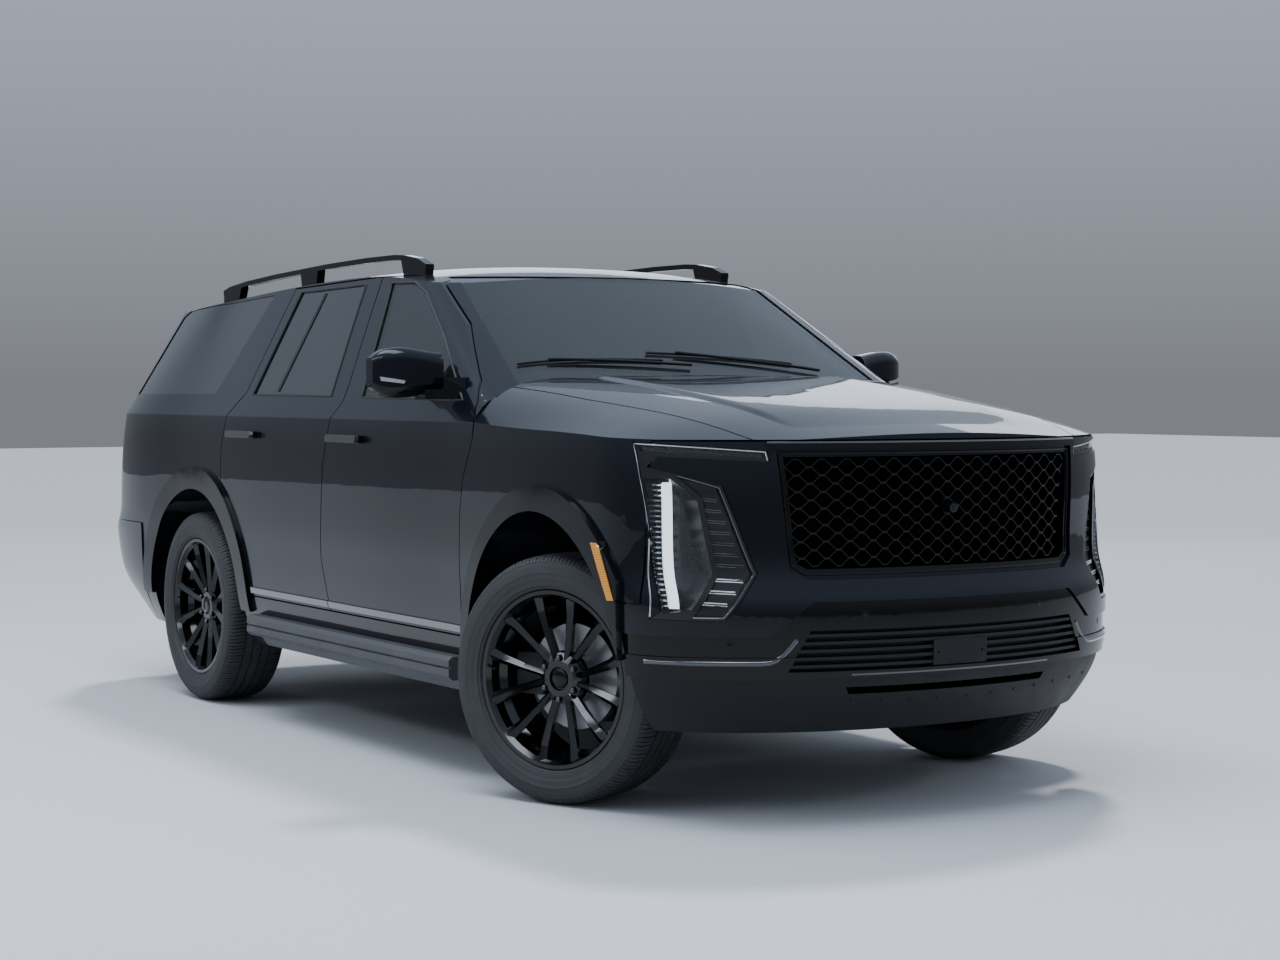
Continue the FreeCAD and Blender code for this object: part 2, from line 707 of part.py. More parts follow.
def make_front_fenders():
    left = nose_layer(side_prism(fender_outline(), 0, 0, 300), 0, FENDER_T)
    left = left.cut(hood_region(GAP)).cut(box(1000, HOOD_BACK, 0, 905, 0, 2000))
    left = left.cut(lamp_region())
    left = left.cut(arch_prism(X_FRONT, ARCH_FRONT, 0, 300, 1200))
    liner = arch_prism(X_FRONT, ARCH_FRONT, 8, 500, 960).cut(arch_prism(X_FRONT, ARCH_FRONT, 0, 400, 1200))
    liner = liner.common(box(1000, 2140, 0, 1200, TYRE_R, 1200)).common(nose_solid(10, 60))
    return both(largest(left.fuse(liner)))


def fender_outline():
    rear = [(x + GAP, z) for x, z in FRONT_SEAM] + [(1238, 1262), (1238, 1500)]
    return rear + [(2560, 1500), (2560, HOOD_LIP), (FENDER_NOSE - GAP, HOOD_LIP),
                   (FENDER_NOSE - GAP, FENDER_FOOT + GAP), (1900, FENDER_FOOT + GAP), (1900, 345), (1149, 345)]


MESH_ROWS = 13
MESH_CELLS = 14
MESH_BAR = 2.2
MESH_DEPTH = 12.0
MESH_INSET = 26.0


# Where the nose surface is, at a place across the car
def nose_x(y):
    s = min(abs(y) / BODY_HALF, 1)
    return X_NOSE - 50 - NOSE_SWEEP * (1 - (1 - s * s) ** NOSE_ROUND)


# One zig-zag ribbon of the mesh, bent to the nose
def mesh_ribbon(z, swing, phase, half):
    pitch = 2 * half / MESH_CELLS
    points = []
    for i in range(2 * MESH_CELLS + 1):
        y = -half + pitch * i / 2
        level = z + (swing if (i + phase) % 2 else -swing)
        points.append((max(y - pitch * 0.1, -half), level))
        points.append((min(y + pitch * 0.1, half), level))
    faces = []
    rings = []
    for y, level in points:
        x = nose_x(y) - MESH_INSET
        rings.append([V(x, y, level + MESH_BAR), V(x - MESH_DEPTH, y, level + MESH_BAR),
                      V(x - MESH_DEPTH, y, level - MESH_BAR), V(x, y, level - MESH_BAR)])
    clean = [rings[0]]
    for ring in rings[1:]:
        if ring[0].y - clean[-1][0].y > 0.5:
            clean.append(ring)
    for a, b in zip(clean, clean[1:]):
        for k in range(4):
            n = (k + 1) % 4
            faces.append(Part.Face(outline([a[k], b[k], b[n], a[n]])))
    faces.append(Part.Face(outline(clean[0])))
    faces.append(Part.Face(outline(clean[-1])))
    return Part.makeSolid(Part.makeShell(faces))


def make_grille():
    clear = SEAT
    outer = [(606 - clear, 1190 - clear), (576 - clear, 822), (527, 786 + clear)]
    ring = front_prism(symmetric(outer), 2300, 2800).cut(front_prism(symmetric(GRILLE_INNER), 2300, 2800))
    ring = whole(nose_layer(ring, 10, FASCIA_T))
    bottom, top = 824.0, 1162.0
    step = (top - bottom) / MESH_ROWS
    rows = []
    for i in range(MESH_ROWS):
        z = bottom + step * (i + 0.5)
        half = 556 + 26 * (z - bottom) / (top - bottom)
        rows.append(mesh_ribbon(z, step / 2 - MESH_BAR * 0.6, i, half))
    mesh = rows[0].multiFuse(rows[1:])
    return largest(ring.fuse(mesh))


PLATE_SPACING = 177.8


def make_lower_grille():
    region = front_prism(symmetric([(529 - SEAT, 630 - SEAT), (600 - 2 * SEAT, 502 + SEAT)]), 2300, 2800)
    bars = nose_layer(region, 36, 48)
    for i in range(5):
        z = 518 + 24 * i
        bars = bars.fuse(nose_layer(region.common(box(2300, 2800, -700, 700, z - 5, z + 5)), 8, 40))
    pad = box(2560, 2684, 0, 108, 506, 586)
    hole = Part.makeCylinder(3.5, 60, V(2640, PLATE_SPACING / 2, 546), V(1, 0, 0))
    return whole(bars.fuse(pad.common(nose_solid(4, 4))).cut(hole))


def make_flares():
    front = arch_prism(X_FRONT, FLARE_FRONT, 0, 700, 1200).cut(arch_prism(X_FRONT, ARCH_FRONT, 0, 600, 1300))
    front = front.common(box(1000, 2214, 700, 1200, 440, 1200))
    front = front.common(nose_solid(-FLARE_OUT, 0)).cut(nose_solid(-SEAT, 0))
    rear = arch_prism(X_REAR, FLARE_REAR, 0, 700, 1200).cut(arch_prism(X_REAR, ARCH_REAR, 0, 600, 1300))
    rear = rear.common(box(X_REAR - 700, X_REAR + 700, 700, 1200, 440, 1200))
    rear = rear.cut(bumper_rear_region(GAP))
    rear = rear.common(cabin_solid(-FLARE_OUT, -FLARE_OUT, 0)).cut(cabin_solid(-SEAT, -SEAT, 0))
    return both(Part.makeCompound([largest(front), largest(rear)]))


def make_running_boards():
    x0, x1 = -720.0, 1130.0
    board = box(x0, x1, 905, 1034, 352, 436)
    step = board.makeChamfer(14, [e for e in board.Edges if abs(e.BoundBox.YMin - 1034) < 1 and e.BoundBox.XLength > 100])
    groove = box(x0 - 1, x1 + 1, 1026, 1040, 392, 400)
    return both(largest(step.cut(groove).cut(cabin_solid(-SEAT, -SEAT, 0))))


RAIL_TOP = [(300, 1862), (222, 1889), (110, 1905), (18, 1910), (-232, 1910), (-625, 1902), (-1156, 1882),
            (-1498, 1864), (-1700, 1846), (-1780, 1830)]
RAIL_T = 21.0


def make_roof_rails():
    lower = [(x, z - RAIL_T) for x, z in reversed(RAIL_TOP)]
    feet = [(-1775, 1815), (-1775, 1700), (-1640, 1700), (-1560, 1848)]
    mid = [(-900, 1878), (-860, 1700), (-760, 1700), (-720, 1884)]
    tip = [(80, 1895), (150, 1700), (296, 1700), (296, 1856)]
    bar = side_prism(RAIL_TOP + lower, 0, 0, 668, 704)
    for foot in (feet, mid, tip):
        bar = bar.fuse(side_prism(foot, 0, 0, 668, 704))
    return both(largest(bar.cut(capped_house(0, -SEAT))))


def make_tail_lamps():
    outline_yz = [(778, 800), (905, 800), (915, 1240), (815, 1700), (716, 1715), (772, 1262)]
    return largest(cabin_layer(front_prism(outline_yz, -3000, -2130), (0, 0, 0), (30, 30, 30)))


def revolved(profile):
    wire = outline([V(r, y, 0) for r, y in profile])
    return Part.Face(wire).revolve(V(0, 0, 0), V(0, 1, 0), 360)


BARREL = [(297, 118), (297, 108), (280, 100), (280, 60), (262, 45), (262, -60), (280, -90), (280, -115),
          (297, -120), (297, -126), (288, -126), (270, -110), (270, -85), (252, -60), (252, 40),
          (270, 62), (272, 100), (284, 118)]
TYRE_PROFILE = [(280.3, 98), (298.3, 99), (301, 118), (322, 132), (355, 137.5), (388, 134), (406, 122),
                (414.5, 100), (417, 62)]
SPOKE_PAIRS = 6
LUGS = 6
LUG_CIRCLE = 139.7 / 2
DISC_R = 178.0


# One spoke: a ridged bar from the hub to the rim, swept a little
def spoke(hub_angle, rim_angle):
    sections = []
    middle = (hub_angle + rim_angle) / 2
    for r, y, width, depth, angle in ((62, 78, 13, 36, hub_angle), (150, 92, 13, 38, middle),
                                      (230, 104, 17, 36, (middle + rim_angle) / 2), (277, 113, 23, 30, rim_angle)):
        a = math.radians(angle)
        centre = V(r * math.cos(a), 0, r * math.sin(a))
        across = V(-math.sin(a), 0, math.cos(a))
        section = [centre + across * width + V(0, y - 15, 0), centre + V(0, y, 0),
                   centre - across * width + V(0, y - 15, 0), centre - across * width * 0.7 + V(0, y - depth, 0),
                   centre + across * width * 0.7 + V(0, y - depth, 0)]
        sections.append(outline(section))
    return Part.makeLoft(sections, True, True)


# Rim with spokes, hub and the brake disc bolted behind it; the axle is along Y, outboard +
def wheel_rim():
    rim = revolved(BARREL)
    hub = revolved([(SPINDLE_R + RUNNING, 30), (86, 30), (86, 66), (60, 78), (40, 78), (36, 70), (0, 70),
                    (0, 56), (SPINDLE_R + RUNNING, 56)])
    disc = revolved([(SPINDLE_R + RUNNING, 30), (92, 30), (92, -8), (DISC_R, -8), (DISC_R, -40), (80, -40),
                     (80, 18), (SPINDLE_R + RUNNING, 18)])
    pieces = [hub, disc]
    for i in range(SPOKE_PAIRS):
        middle = 360 / SPOKE_PAIRS * i
        pieces.append(spoke(middle - 9, middle - 14))
        pieces.append(spoke(middle + 11, middle + 18))
    for i in range(LUGS):
        a = math.radians(360 / LUGS * (i + 0.5))
        centre = V(LUG_CIRCLE * math.cos(a), 60, LUG_CIRCLE * math.sin(a))
        pieces.append(Part.makeCylinder(11, 22, centre, V(0, 1, 0)))
    return largest(rim.multiFuse(pieces))


def wheel_tyre():
    profile = TYRE_PROFILE + [(r, -y) for r, y in reversed(TYRE_PROFILE)]
    return revolved(profile)


# Knuckle with spindle, ball-joint pins and brake caliper, inboard of the wheel
PIN_R = 14.0
ARM_Z = 150.0


def knuckle():
    offset = KINGPIN_Y - TRACK / 2
    upright = box(-45, 45, offset - 22, offset + 22, -ARM_Z + 16, ARM_Z - 16)
    spindle = Part.makeCylinder(SPINDLE_R, 54 - offset, V(0, offset, 0), V(0, 1, 0))
    pins = Part.makeCylinder(PIN_R, 2 * ARM_Z + 24, V(0, offset, -ARM_Z - 12))
    arm = box(-45, -20, offset - 10, offset + 10, -60, -30)
    caliper = box(-232, -120, -62, 12, -70, 70)
    caliper = caliper.common(Part.makeCylinder(238, 200, V(0, -100, 0), V(0, 1, 0)))
    caliper = caliper.cut(Part.makeCylinder(DISC_R + 7, 46, V(0, -47, 0), V(0, 1, 0)))
    bracket = box(-150, -30, -78, -56, -40, 40)
    return largest(upright.multiFuse([spindle, pins, arm, caliper, bracket]))


# A control arm: a plan wedge from the ball joint to the frame rail
def control_arm(z, thick, reach):
    wedge = plan_prism([(X_FRONT + 26, KINGPIN_Y + 26), (X_FRONT + 26, KINGPIN_Y - 10), (X_FRONT + reach, RAIL_Y + RAIL_W),
                        (X_FRONT - reach, RAIL_Y + RAIL_W), (X_FRONT - 26, KINGPIN_Y - 10), (X_FRONT - 26, KINGPIN_Y + 26)],
                       z - thick / 2, z + thick / 2)
    window = plan_prism([(X_FRONT + reach - 60, RAIL_Y + RAIL_W + 20), (X_FRONT, KINGPIN_Y - 120),
                         (X_FRONT - reach + 60, RAIL_Y + RAIL_W + 20)], z - thick, z + thick)
    bore = Part.makeCylinder(PIN_R + RUNNING, 4 * thick, V(X_FRONT, KINGPIN_Y, z - 2 * thick))
    return wedge.cut(window).cut(bore)


RAIL_Y = 375.0
RAIL_W = 75.0
RAIL_Z = (400.0, FLOOR_Z - FLOOR_T - SEAT)
FRAME_TAIL = -2350.0
KICK_X = 200.0
KICK_Z = 468.0
ARM_HALF = 110.0
DIFF_R = 125.0


def make_frame():
    x0, x1 = FRAME_TAIL, 2440.0
    y0, y1 = RAIL_Y, RAIL_Y + RAIL_W
    low_z, high_z = RAIL_Z
    rail = box(X_REAR + KICK_X, x1, y0, y1, low_z, high_z)
    rail = rail.fuse(box(x0, X_REAR - KICK_X, y0, y1, low_z, high_z))
    rail = rail.fuse(box(X_REAR - KICK_X - 60, X_REAR + KICK_X + 60, y0, y1, KICK_Z, KICK_Z + 80))
    for x in (X_REAR - ARM_HALF, X_REAR + ARM_HALF - 40):
        rail = rail.fuse(box(x, x + 40, y0, y1, TYRE_R - 60, KICK_Z + 10))
    for x in (-2250.0, -1740.0):
        rail = rail.fuse(box(x, x + 60, y0, y1, high_z, REAR_FLOOR_Z - FLOOR_T - SEAT))
    tower = box(X_FRONT - 130, X_FRONT + 130, RAIL_Y, RAIL_Y + RAIL_W, 250, TYRE_R + ARM_Z + 20)
    side = rail.fuse(tower)
    frame = side.fuse(mirrored(side))
    for x in (x0, -1900, -1050, 200, 1000, X_FRONT, x1 - 70):
        frame = frame.fuse(box(x, x + 70, -RAIL_Y, RAIL_Y, RAIL_Z[0] + 10, RAIL_Z[1] - 10))
    radiator = box(x1 - 55, x1 - 15, -560, 560, RAIL_Z[0] + 20, 1150)
    return frame.fuse(radiator).removeSplitter()


def make_suspension():
    lower = control_arm(TYRE_R - ARM_Z, 22, 125)
    upper = control_arm(TYRE_R + ARM_Z, 18, 110)
    rear_arm = box(X_REAR - ARM_HALF, X_REAR + ARM_HALF, RAIL_Y + RAIL_W, 730, TYRE_R - 60, TYRE_R - 20)
    carrier = box(X_REAR - 50, X_REAR + 50, 715, 765, TYRE_R - 120, TYRE_R + 120)
    spindle = Part.makeCylinder(SPINDLE_R, 157, V(X_REAR, 765, TYRE_R), V(0, 1, 0))
    shaft = Part.makeCylinder(24, 620, V(X_REAR, 100, TYRE_R), V(0, 1, 0))
    caliper = box(-232, -120, -62, 12, -70, 70).common(Part.makeCylinder(238, 200, V(0, -100, 0), V(0, 1, 0)))
    caliper = caliper.cut(Part.makeCylinder(DISC_R + 7, 46, V(0, -47, 0), V(0, 1, 0)))
    bracket = box(-150, -30, -104, -56, -40, 40)
    caliper = moved(turned(caliper.fuse(bracket), 0), X_REAR, TRACK / 2, TYRE_R)
    rear = rear_arm.multiFuse([carrier, spindle, shaft, caliper])
    half = [lower, upper]
    whole = rear.fuse(mirrored(rear)).fuse(Part.makeSphere(DIFF_R, V(X_REAR, 0, TYRE_R)))
    return Part.makeCompound(half + [mirrored(h) for h in half] + [whole])


def make_engine():
    return box(1300, 2150, -330, 330, RAIL_Z[1] - 10 + SEAT, 1120)


def seat(x, y, width, height):
    base = box(x - 260, x + 260, y - width / 2, y + width / 2, FLOOR_Z + 190, FLOOR_Z + 330)
    base = base.makeFillet(36, [e for e in base.Edges if e.BoundBox.ZMin > FLOOR_Z + 329])
    leg = box(x - 200, x + 200, y - width / 2 + 60, y + width / 2 - 60, FLOOR_Z, FLOOR_Z + 190)
    back = box(-70, 60, y - width / 2, y + width / 2, 0, height)
    back = back.makeFillet(38, [e for e in back.Edges if e.BoundBox.ZMax > height - 1 or e.BoundBox.XMin > 59])
    back = moved(turned(back, -15, V(0, 0, 0), V(0, 1, 0)), x - 240, 0, FLOOR_Z + 300)
    head = box(-50, 40, y - 130, y + 130, height - 2, height + 170)
    head = head.makeFillet(34, [e for e in head.Edges if e.BoundBox.ZMax > height + 100])
    head = moved(turned(head, -15, V(0, 0, 0), V(0, 1, 0)), x - 240, 0, FLOOR_Z + 300)
    return base.multiFuse([leg, back, head])


def make_front_seats():
    console = box(150, 700, -150, 150, FLOOR_Z, FLOOR_Z + 330)
    return Part.makeCompound([seat(250, 430, 520, 620), seat(250, -430, 520, 620), console])


def make_rear_seats():
    middle = [seat(-640, 440, 500, 600), seat(-640, -440, 500, 600)]
    third = [moved(seat(-1500, 0, 1120, 440), 0, 0, REAR_FLOOR_Z - FLOOR_Z)]
    return Part.makeCompound(middle + third)


def make_dashboard():
    body = box(860, 1140, -800, 800, 900, 1240)
    body = body.makeChamfer(60, [e for e in body.Edges if e.BoundBox.YLength > 100 and e.BoundBox.ZMin > 1200])
    foot = box(1000, 1150, -200, 200, FLOOR_Z, 900)
    return body.fuse(foot)


def make_steering_wheel():
    ring = Part.makeTorus(185, 14, V(0, 0, 0), V(1, 0, 0))
    spokes = box(-8, 8, -180, 180, -16, 16)
    hub = Part.makeCylinder(60, 30, V(-10, 0, 0), V(1, 0, 0))
    column = Part.makeCylinder(28, 190, V(10, 0, 0), V(1, 0, 0))
    wheel = ring.multiFuse([spokes, hub, column])
    wheel = turned(wheel, 22, V(0, 0, 0), V(0, 1, 0))
    return moved(wheel, 690, 430, 1180).cut(make_dashboard())


EXHAUST_Y = 520.0
EXHAUST_Z = 400.0
MUFFLER_X = (-2290.0, -2040.0)


def make_exhaust():
    muffler = box(MUFFLER_X[0], MUFFLER_X[1], 0, 640, 350, RAIL_Z[0] - SEAT)
    tip_x = X_TAIL + 110
    tip = Part.makeCylinder(48, MUFFLER_X[0] + 60 - tip_x, V(tip_x, EXHAUST_Y, EXHAUST_Z), V(1, 0, 0))
    bore = Part.makeCylinder(42, 160, V(tip_x - 10, EXHAUST_Y, EXHAUST_Z), V(1, 0, 0))
    return whole(muffler.fuse(tip).cut(bore))


# Mirror: a head that narrows outboard, its glass sunk in the rear face, on an arm from the door's corner
def make_mirror():
    sections = []
    for y, x0, x1, z0, z1 in ((945, 795, 925, 1362, 1512), (1050, 785, 905, 1350, 1527), (1150, 780, 872, 1356, 1518),
                              (1185, 784, 836, 1384, 1490)):
        face = box(x0, x1, y, y + 1, z0, z1)
        r = (x1 - x0) * 0.36
        face = face.makeFillet(r, [e for e in face.Edges if e.BoundBox.YLength > 0.9 and e.BoundBox.XLength < 0.1])
        ring = [f for f in face.Faces if abs(f.CenterOfMass.y - y) < 0.01][0]
        sections.append(ring.OuterWire)
    head = Part.makeLoft(sections, True, False)
    glass = box(700, 792, 965, 1168, 1370, 1505)
    foot = plan_prism([(820, 925), (1085, 925), (1085, 942), (960, 985), (905, 1010), (820, 1010)], 1342, 1378)
    sail = plan_prism([(985, 925), (1085, 925), (1085, 942), (985, 975)], 1342, 1420)
    return largest(head.cut(glass).multiFuse([foot, sail]).cut(cabin_solid(-SEAT, -SEAT, 0)))


def place_wheel(shape, x_axle, side, steer):
    piece = shape if side > 0 else mirrored(shape)
    y = TRACK / 2 * side
    piece = moved(piece, x_axle, y, TYRE_R)
    if steer:
        piece = turned(piece, STEER_AT_REST, V(x_axle, KINGPIN_Y * side, 0))
    return piece


def export(name, shape):
    shape.exportStep("parts/" + name + ".step")


def main():
    os.makedirs("parts", exist_ok=True)
    pieces = {
        "body_shell": make_body_shell(),
        "frame": make_frame(),
        "engine": make_engine(),
        "hood": make_hood(),
        "front_fenders": make_front_fenders(),
        "front_bumper": make_front_bumper(),
        "grille": make_grille(),
        "lower_grille": make_lower_grille(),
        "headlights": make_headlights(),
        "headlight_lenses": make_headlight_lenses(),
        "windshield": make_windshield(),
        "quarter_glass": both(make_quarter_glass()),
        "rear_bumper": make_rear_bumper(),
        "roof_rails": make_roof_rails(),
        "running_boards": make_running_boards(),
        "flares": make_flares(),
        "front_seats": make_front_seats(),
        "rear_seats": make_rear_seats(),
        "dashboard": make_dashboard(),
        "steering_wheel": make_steering_wheel(),
        "exhaust": make_exhaust(),
        "suspension": make_suspension(),
        "liftgate": make_liftgate(),
        "rear_glass": make_rear_glass(),
    }
    pieces["tail_lamps"] = both(make_tail_lamps())
    doors = {
        "door_front": make_door(front_door_region(0, 700), FRONT_GLASS, HANDLE_FRONT),
        "door_rear": make_door(rear_door_region(0, 700), REAR_GLASS, HANDLE_REAR),
        "glass_front": make_door_glass(FRONT_GLASS),
        "glass_rear": make_door_glass(REAR_GLASS),
        "mirror": make_mirror(),
    }
    for name, shape in doors.items():
        pieces[name + "_left"] = shape
        pieces[name + "_right"] = mirrored(shape)
    rim = wheel_rim()
    tyre = wheel_tyre()
    hub = knuckle()
    for side, label in ((1, "left"), (-1, "right")):
        pieces["knuckle_" + label] = place_wheel(hub, X_FRONT, side, True)
        for end, x_axle in (("front", X_FRONT), ("rear", X_REAR)):
            steer = end == "front"
            pieces["rim_" + end + "_" + label] = place_wheel(rim, x_axle, side, steer)
            pieces["tyre_" + end + "_" + label] = place_wheel(tyre, x_axle, side, steer)
    for name, shape in pieces.items():
        print(name, round(shape.Volume / 1e6, 2), len(shape.Solids), shape.isValid())
        export(name, shape)


main()
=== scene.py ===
# %% [markdown]
# # A full-size suv, dressed
# The metal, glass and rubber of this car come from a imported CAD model, one object for each part. This
# file gives those parts their finish, swaps a few of them for finer versions of the same form, and adds
# the small things that make a car read as real: lamp optics, slats, tread, seams and bolts.

# %% Frame and size
import json
import math
import bmesh
import bpy
from mathutils import Matrix, Vector
from mathutils.bvhtree import BVHTree

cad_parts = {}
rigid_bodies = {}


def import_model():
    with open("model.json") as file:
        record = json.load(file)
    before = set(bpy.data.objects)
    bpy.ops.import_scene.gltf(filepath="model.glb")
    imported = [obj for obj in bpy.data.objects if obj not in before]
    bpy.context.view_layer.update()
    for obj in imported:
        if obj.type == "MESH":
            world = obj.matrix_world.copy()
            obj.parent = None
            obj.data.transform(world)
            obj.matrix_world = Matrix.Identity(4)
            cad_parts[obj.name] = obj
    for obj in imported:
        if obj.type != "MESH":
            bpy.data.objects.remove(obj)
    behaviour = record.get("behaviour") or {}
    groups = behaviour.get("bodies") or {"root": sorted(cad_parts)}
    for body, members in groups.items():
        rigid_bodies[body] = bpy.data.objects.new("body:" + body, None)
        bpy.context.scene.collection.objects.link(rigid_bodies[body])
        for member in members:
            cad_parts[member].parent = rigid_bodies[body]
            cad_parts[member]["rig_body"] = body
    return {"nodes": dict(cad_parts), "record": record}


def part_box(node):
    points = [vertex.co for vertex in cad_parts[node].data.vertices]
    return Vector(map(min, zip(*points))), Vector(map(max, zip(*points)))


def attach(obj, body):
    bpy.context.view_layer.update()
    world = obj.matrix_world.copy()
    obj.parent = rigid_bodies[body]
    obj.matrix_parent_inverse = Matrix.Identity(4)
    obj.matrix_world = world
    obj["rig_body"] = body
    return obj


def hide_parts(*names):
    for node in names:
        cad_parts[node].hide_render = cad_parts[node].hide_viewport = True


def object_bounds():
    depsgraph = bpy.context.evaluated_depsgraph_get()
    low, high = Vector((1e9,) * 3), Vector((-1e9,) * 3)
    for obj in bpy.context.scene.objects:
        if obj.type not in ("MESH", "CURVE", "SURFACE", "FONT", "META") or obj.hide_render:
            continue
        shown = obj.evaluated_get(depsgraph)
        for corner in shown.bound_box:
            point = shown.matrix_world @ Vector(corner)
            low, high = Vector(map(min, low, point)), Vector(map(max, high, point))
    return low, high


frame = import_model()
cad_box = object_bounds()
nodes = frame["nodes"]
X_FRONT = 1.676
X_REAR = -1.395
TYRE_R = 0.417
TRACK_HALF = 0.869
KINGPIN_Y = 0.780
STEER = math.radians(22)
BELT_Z = 1.338
FLOOR, BACK_FLOOR = 0.520, 0.640
SIDES = ((1, "left"), (-1, "right"))
print("car", [round(v, 3) for v in cad_box[1] - cad_box[0]])

# %% [markdown]
# The camera comes first, so that every later choice can be judged from it. A long lens from far away keeps
# the car's proportions calm: this one stands about eight metres off the front right corner at chest height.

# %% Camera
camera_data = bpy.data.cameras.new("camera")
camera_data.lens = 66.64
camera_data.sensor_width = 36.0
camera_data.clip_end = 200
camera = bpy.data.objects.new("camera", camera_data)
camera.location = (8.554, -4.824, 1.383)
yaw, pitch = math.radians(148.32), -0.03887
aim = Vector((math.cos(yaw) * math.cos(pitch), math.sin(yaw) * math.cos(pitch), math.sin(pitch)))
camera.rotation_euler = aim.to_track_quat("-Z", "Y").to_euler()
bpy.context.scene.collection.objects.link(camera)
bpy.context.scene.camera = camera
print("camera", [round(v, 2) for v in camera.location], "lens", round(camera_data.lens, 1))

# %% [markdown]
# Black paint shows nothing but what it mirrors. A pale floor, a cool sky that brightens towards the top and
# two broad soft lights give it long, quiet highlights; one low sun with a wide disc draws the shadow.

# %% Floor and light
def stage_plane(name, size, z):
    mesh = bpy.data.meshes.new(name)
    s = size / 2
    mesh.from_pydata([(-s, -s, z), (s, -s, z), (s, s, z), (-s, s, z)], [], [(0, 1, 2, 3)])
    plane = bpy.data.objects.new(name, mesh)
    bpy.context.scene.collection.objects.link(plane)
    return plane


def soft_light(name, place, target, size, power, colour):
    data = bpy.data.lights.new(name, "AREA")
    data.shape = "RECTANGLE"
    data.size, data.size_y = size
    data.energy = power
    data.color = colour
    light = bpy.data.objects.new(name, data)
    light.location = place
    light.rotation_euler = (Vector(target) - Vector(place)).to_track_quat("-Z", "Y").to_euler()
    bpy.context.scene.collection.objects.link(light)
    return light


floor = stage_plane("floor", 90, 0.0)
soft_light("top_softbox", (1.2, -2.6, 7.5), (0.3, 0, 1.5), (8.0, 3.4), 700, (0.80, 0.89, 1.0))
soft_light("side_softbox", (0.5, -9.5, 6.4), (0, 0, 1.0), (9.0, 1.2), 200, (0.90, 0.95, 1.0))
nose_light = soft_light("nose_softbox", (9.5, 5.5, 5.4), (2.2, 0, 1.0), (3.4, 1.0), 110, (0.94, 0.97, 1.0))
nose_light.visible_glossy = False
far_panel = soft_light("far_panel", (-8.8, 8.3, 4.4), (2.0, 0, 1.2), (13.0, 2.6), 190, (0.84, 0.91, 1.0))
far_panel.visible_camera = False
sun_data = bpy.data.lights.new("sun", "SUN")
sun_data.energy = 3.2
sun_data.angle = math.radians(7)
sun = bpy.data.objects.new("sun", sun_data)
sun.rotation_euler = Vector((0.52, -0.42, -0.9)).to_track_quat("-Z", "Y").to_euler()
sun.visible_glossy = False
bpy.context.scene.collection.objects.link(sun)
world = bpy.data.worlds.new("studio")
world.use_nodes = True
bpy.context.scene.world = world

# %% [markdown]
# Shader maths is easier to read as Python than as boxes and wires. `Value` wraps one socket and lets `+`,
# `-` and `*` add the Math nodes; `Finish` owns one material and adds any other node through one method.

# %% A small language for finishes
class Value:
    def __init__(self, finish, socket):
        self.finish = finish
        self.socket = socket

    def math(self, operation, first, second=0.0):
        return self.finish.node("Math", {"operation": operation}, {0: first, 1: second})

    def __add__(self, other):
        return self.math("ADD", self, other)

    def __radd__(self, other):
        return self.math("ADD", other, self)

    def __sub__(self, other):
        return self.math("SUBTRACT", self, other)

    def __rsub__(self, other):
        return self.math("SUBTRACT", other, self)

    def __mul__(self, other):
        return self.math("MULTIPLY", self, other)

    def __rmul__(self, other):
        return self.math("MULTIPLY", other, self)

    def ramp(self, low, high, lowest=0.0, highest=1.0):
        return self.finish.node("MapRange", {"interpolation_type": "SMOOTHSTEP"},
                                {0: self, 1: low, 2: high, 3: lowest, 4: highest})


class Finish:
    def __init__(self, name, colour, roughness, **sockets):
        self.material = bpy.data.materials.new(name)
        self.material.use_nodes = True
        self.tree = self.material.node_tree
        self.shader = self.tree.nodes["Principled BSDF"]
        self.shader.inputs["Base Color"].default_value = (*colour, 1)
        self.shader.inputs["Roughness"].default_value = roughness
        self.material.diffuse_color = (*colour, 1)
        for key, value in sockets.items():
            self.set(key.replace("_", " ").title().replace("Ior", "IOR"), value)

    def set(self, socket, value):
        target = self.shader.inputs[socket]
        if isinstance(value, Value):
            self.tree.links.new(value.socket, target)
        else:
            target.default_value = value

    def node(self, kind, settings=None, inputs=None, out=0):
        node = self.tree.nodes.new("ShaderNode" + kind)
        for key, value in (settings or {}).items():
            if key == "stops":
                for stop, (place, colour) in zip(node.color_ramp.elements, value):
                    stop.position, stop.color = place, colour
            else:
                setattr(node, key, value)
        for key, value in (inputs or {}).items():
            if isinstance(value, Value):
                self.tree.links.new(value.socket, node.inputs[key])
            else:
                node.inputs[key].default_value = value
        return Value(self, node.outputs[out])

    def place(self):
        return self.node("TexCoord", out="Object")

    def noise(self, scale, detail=3.0, roughness=0.5):
        return self.node("TexNoise", None, {"Vector": self.place(), "Scale": scale, "Detail": detail,
                                            "Roughness": roughness})

    def mix(self, factor, first, second):
        return self.node("Mix", {"data_type": "RGBA"}, {0: factor, 6: (*first, 1), 7: (*second, 1)}, out=2)

    def bump(self, height, strength, distance):
        self.set("Normal", self.node("Bump", None, {"Strength": strength, "Distance": distance,
                                                    "Height": height}))


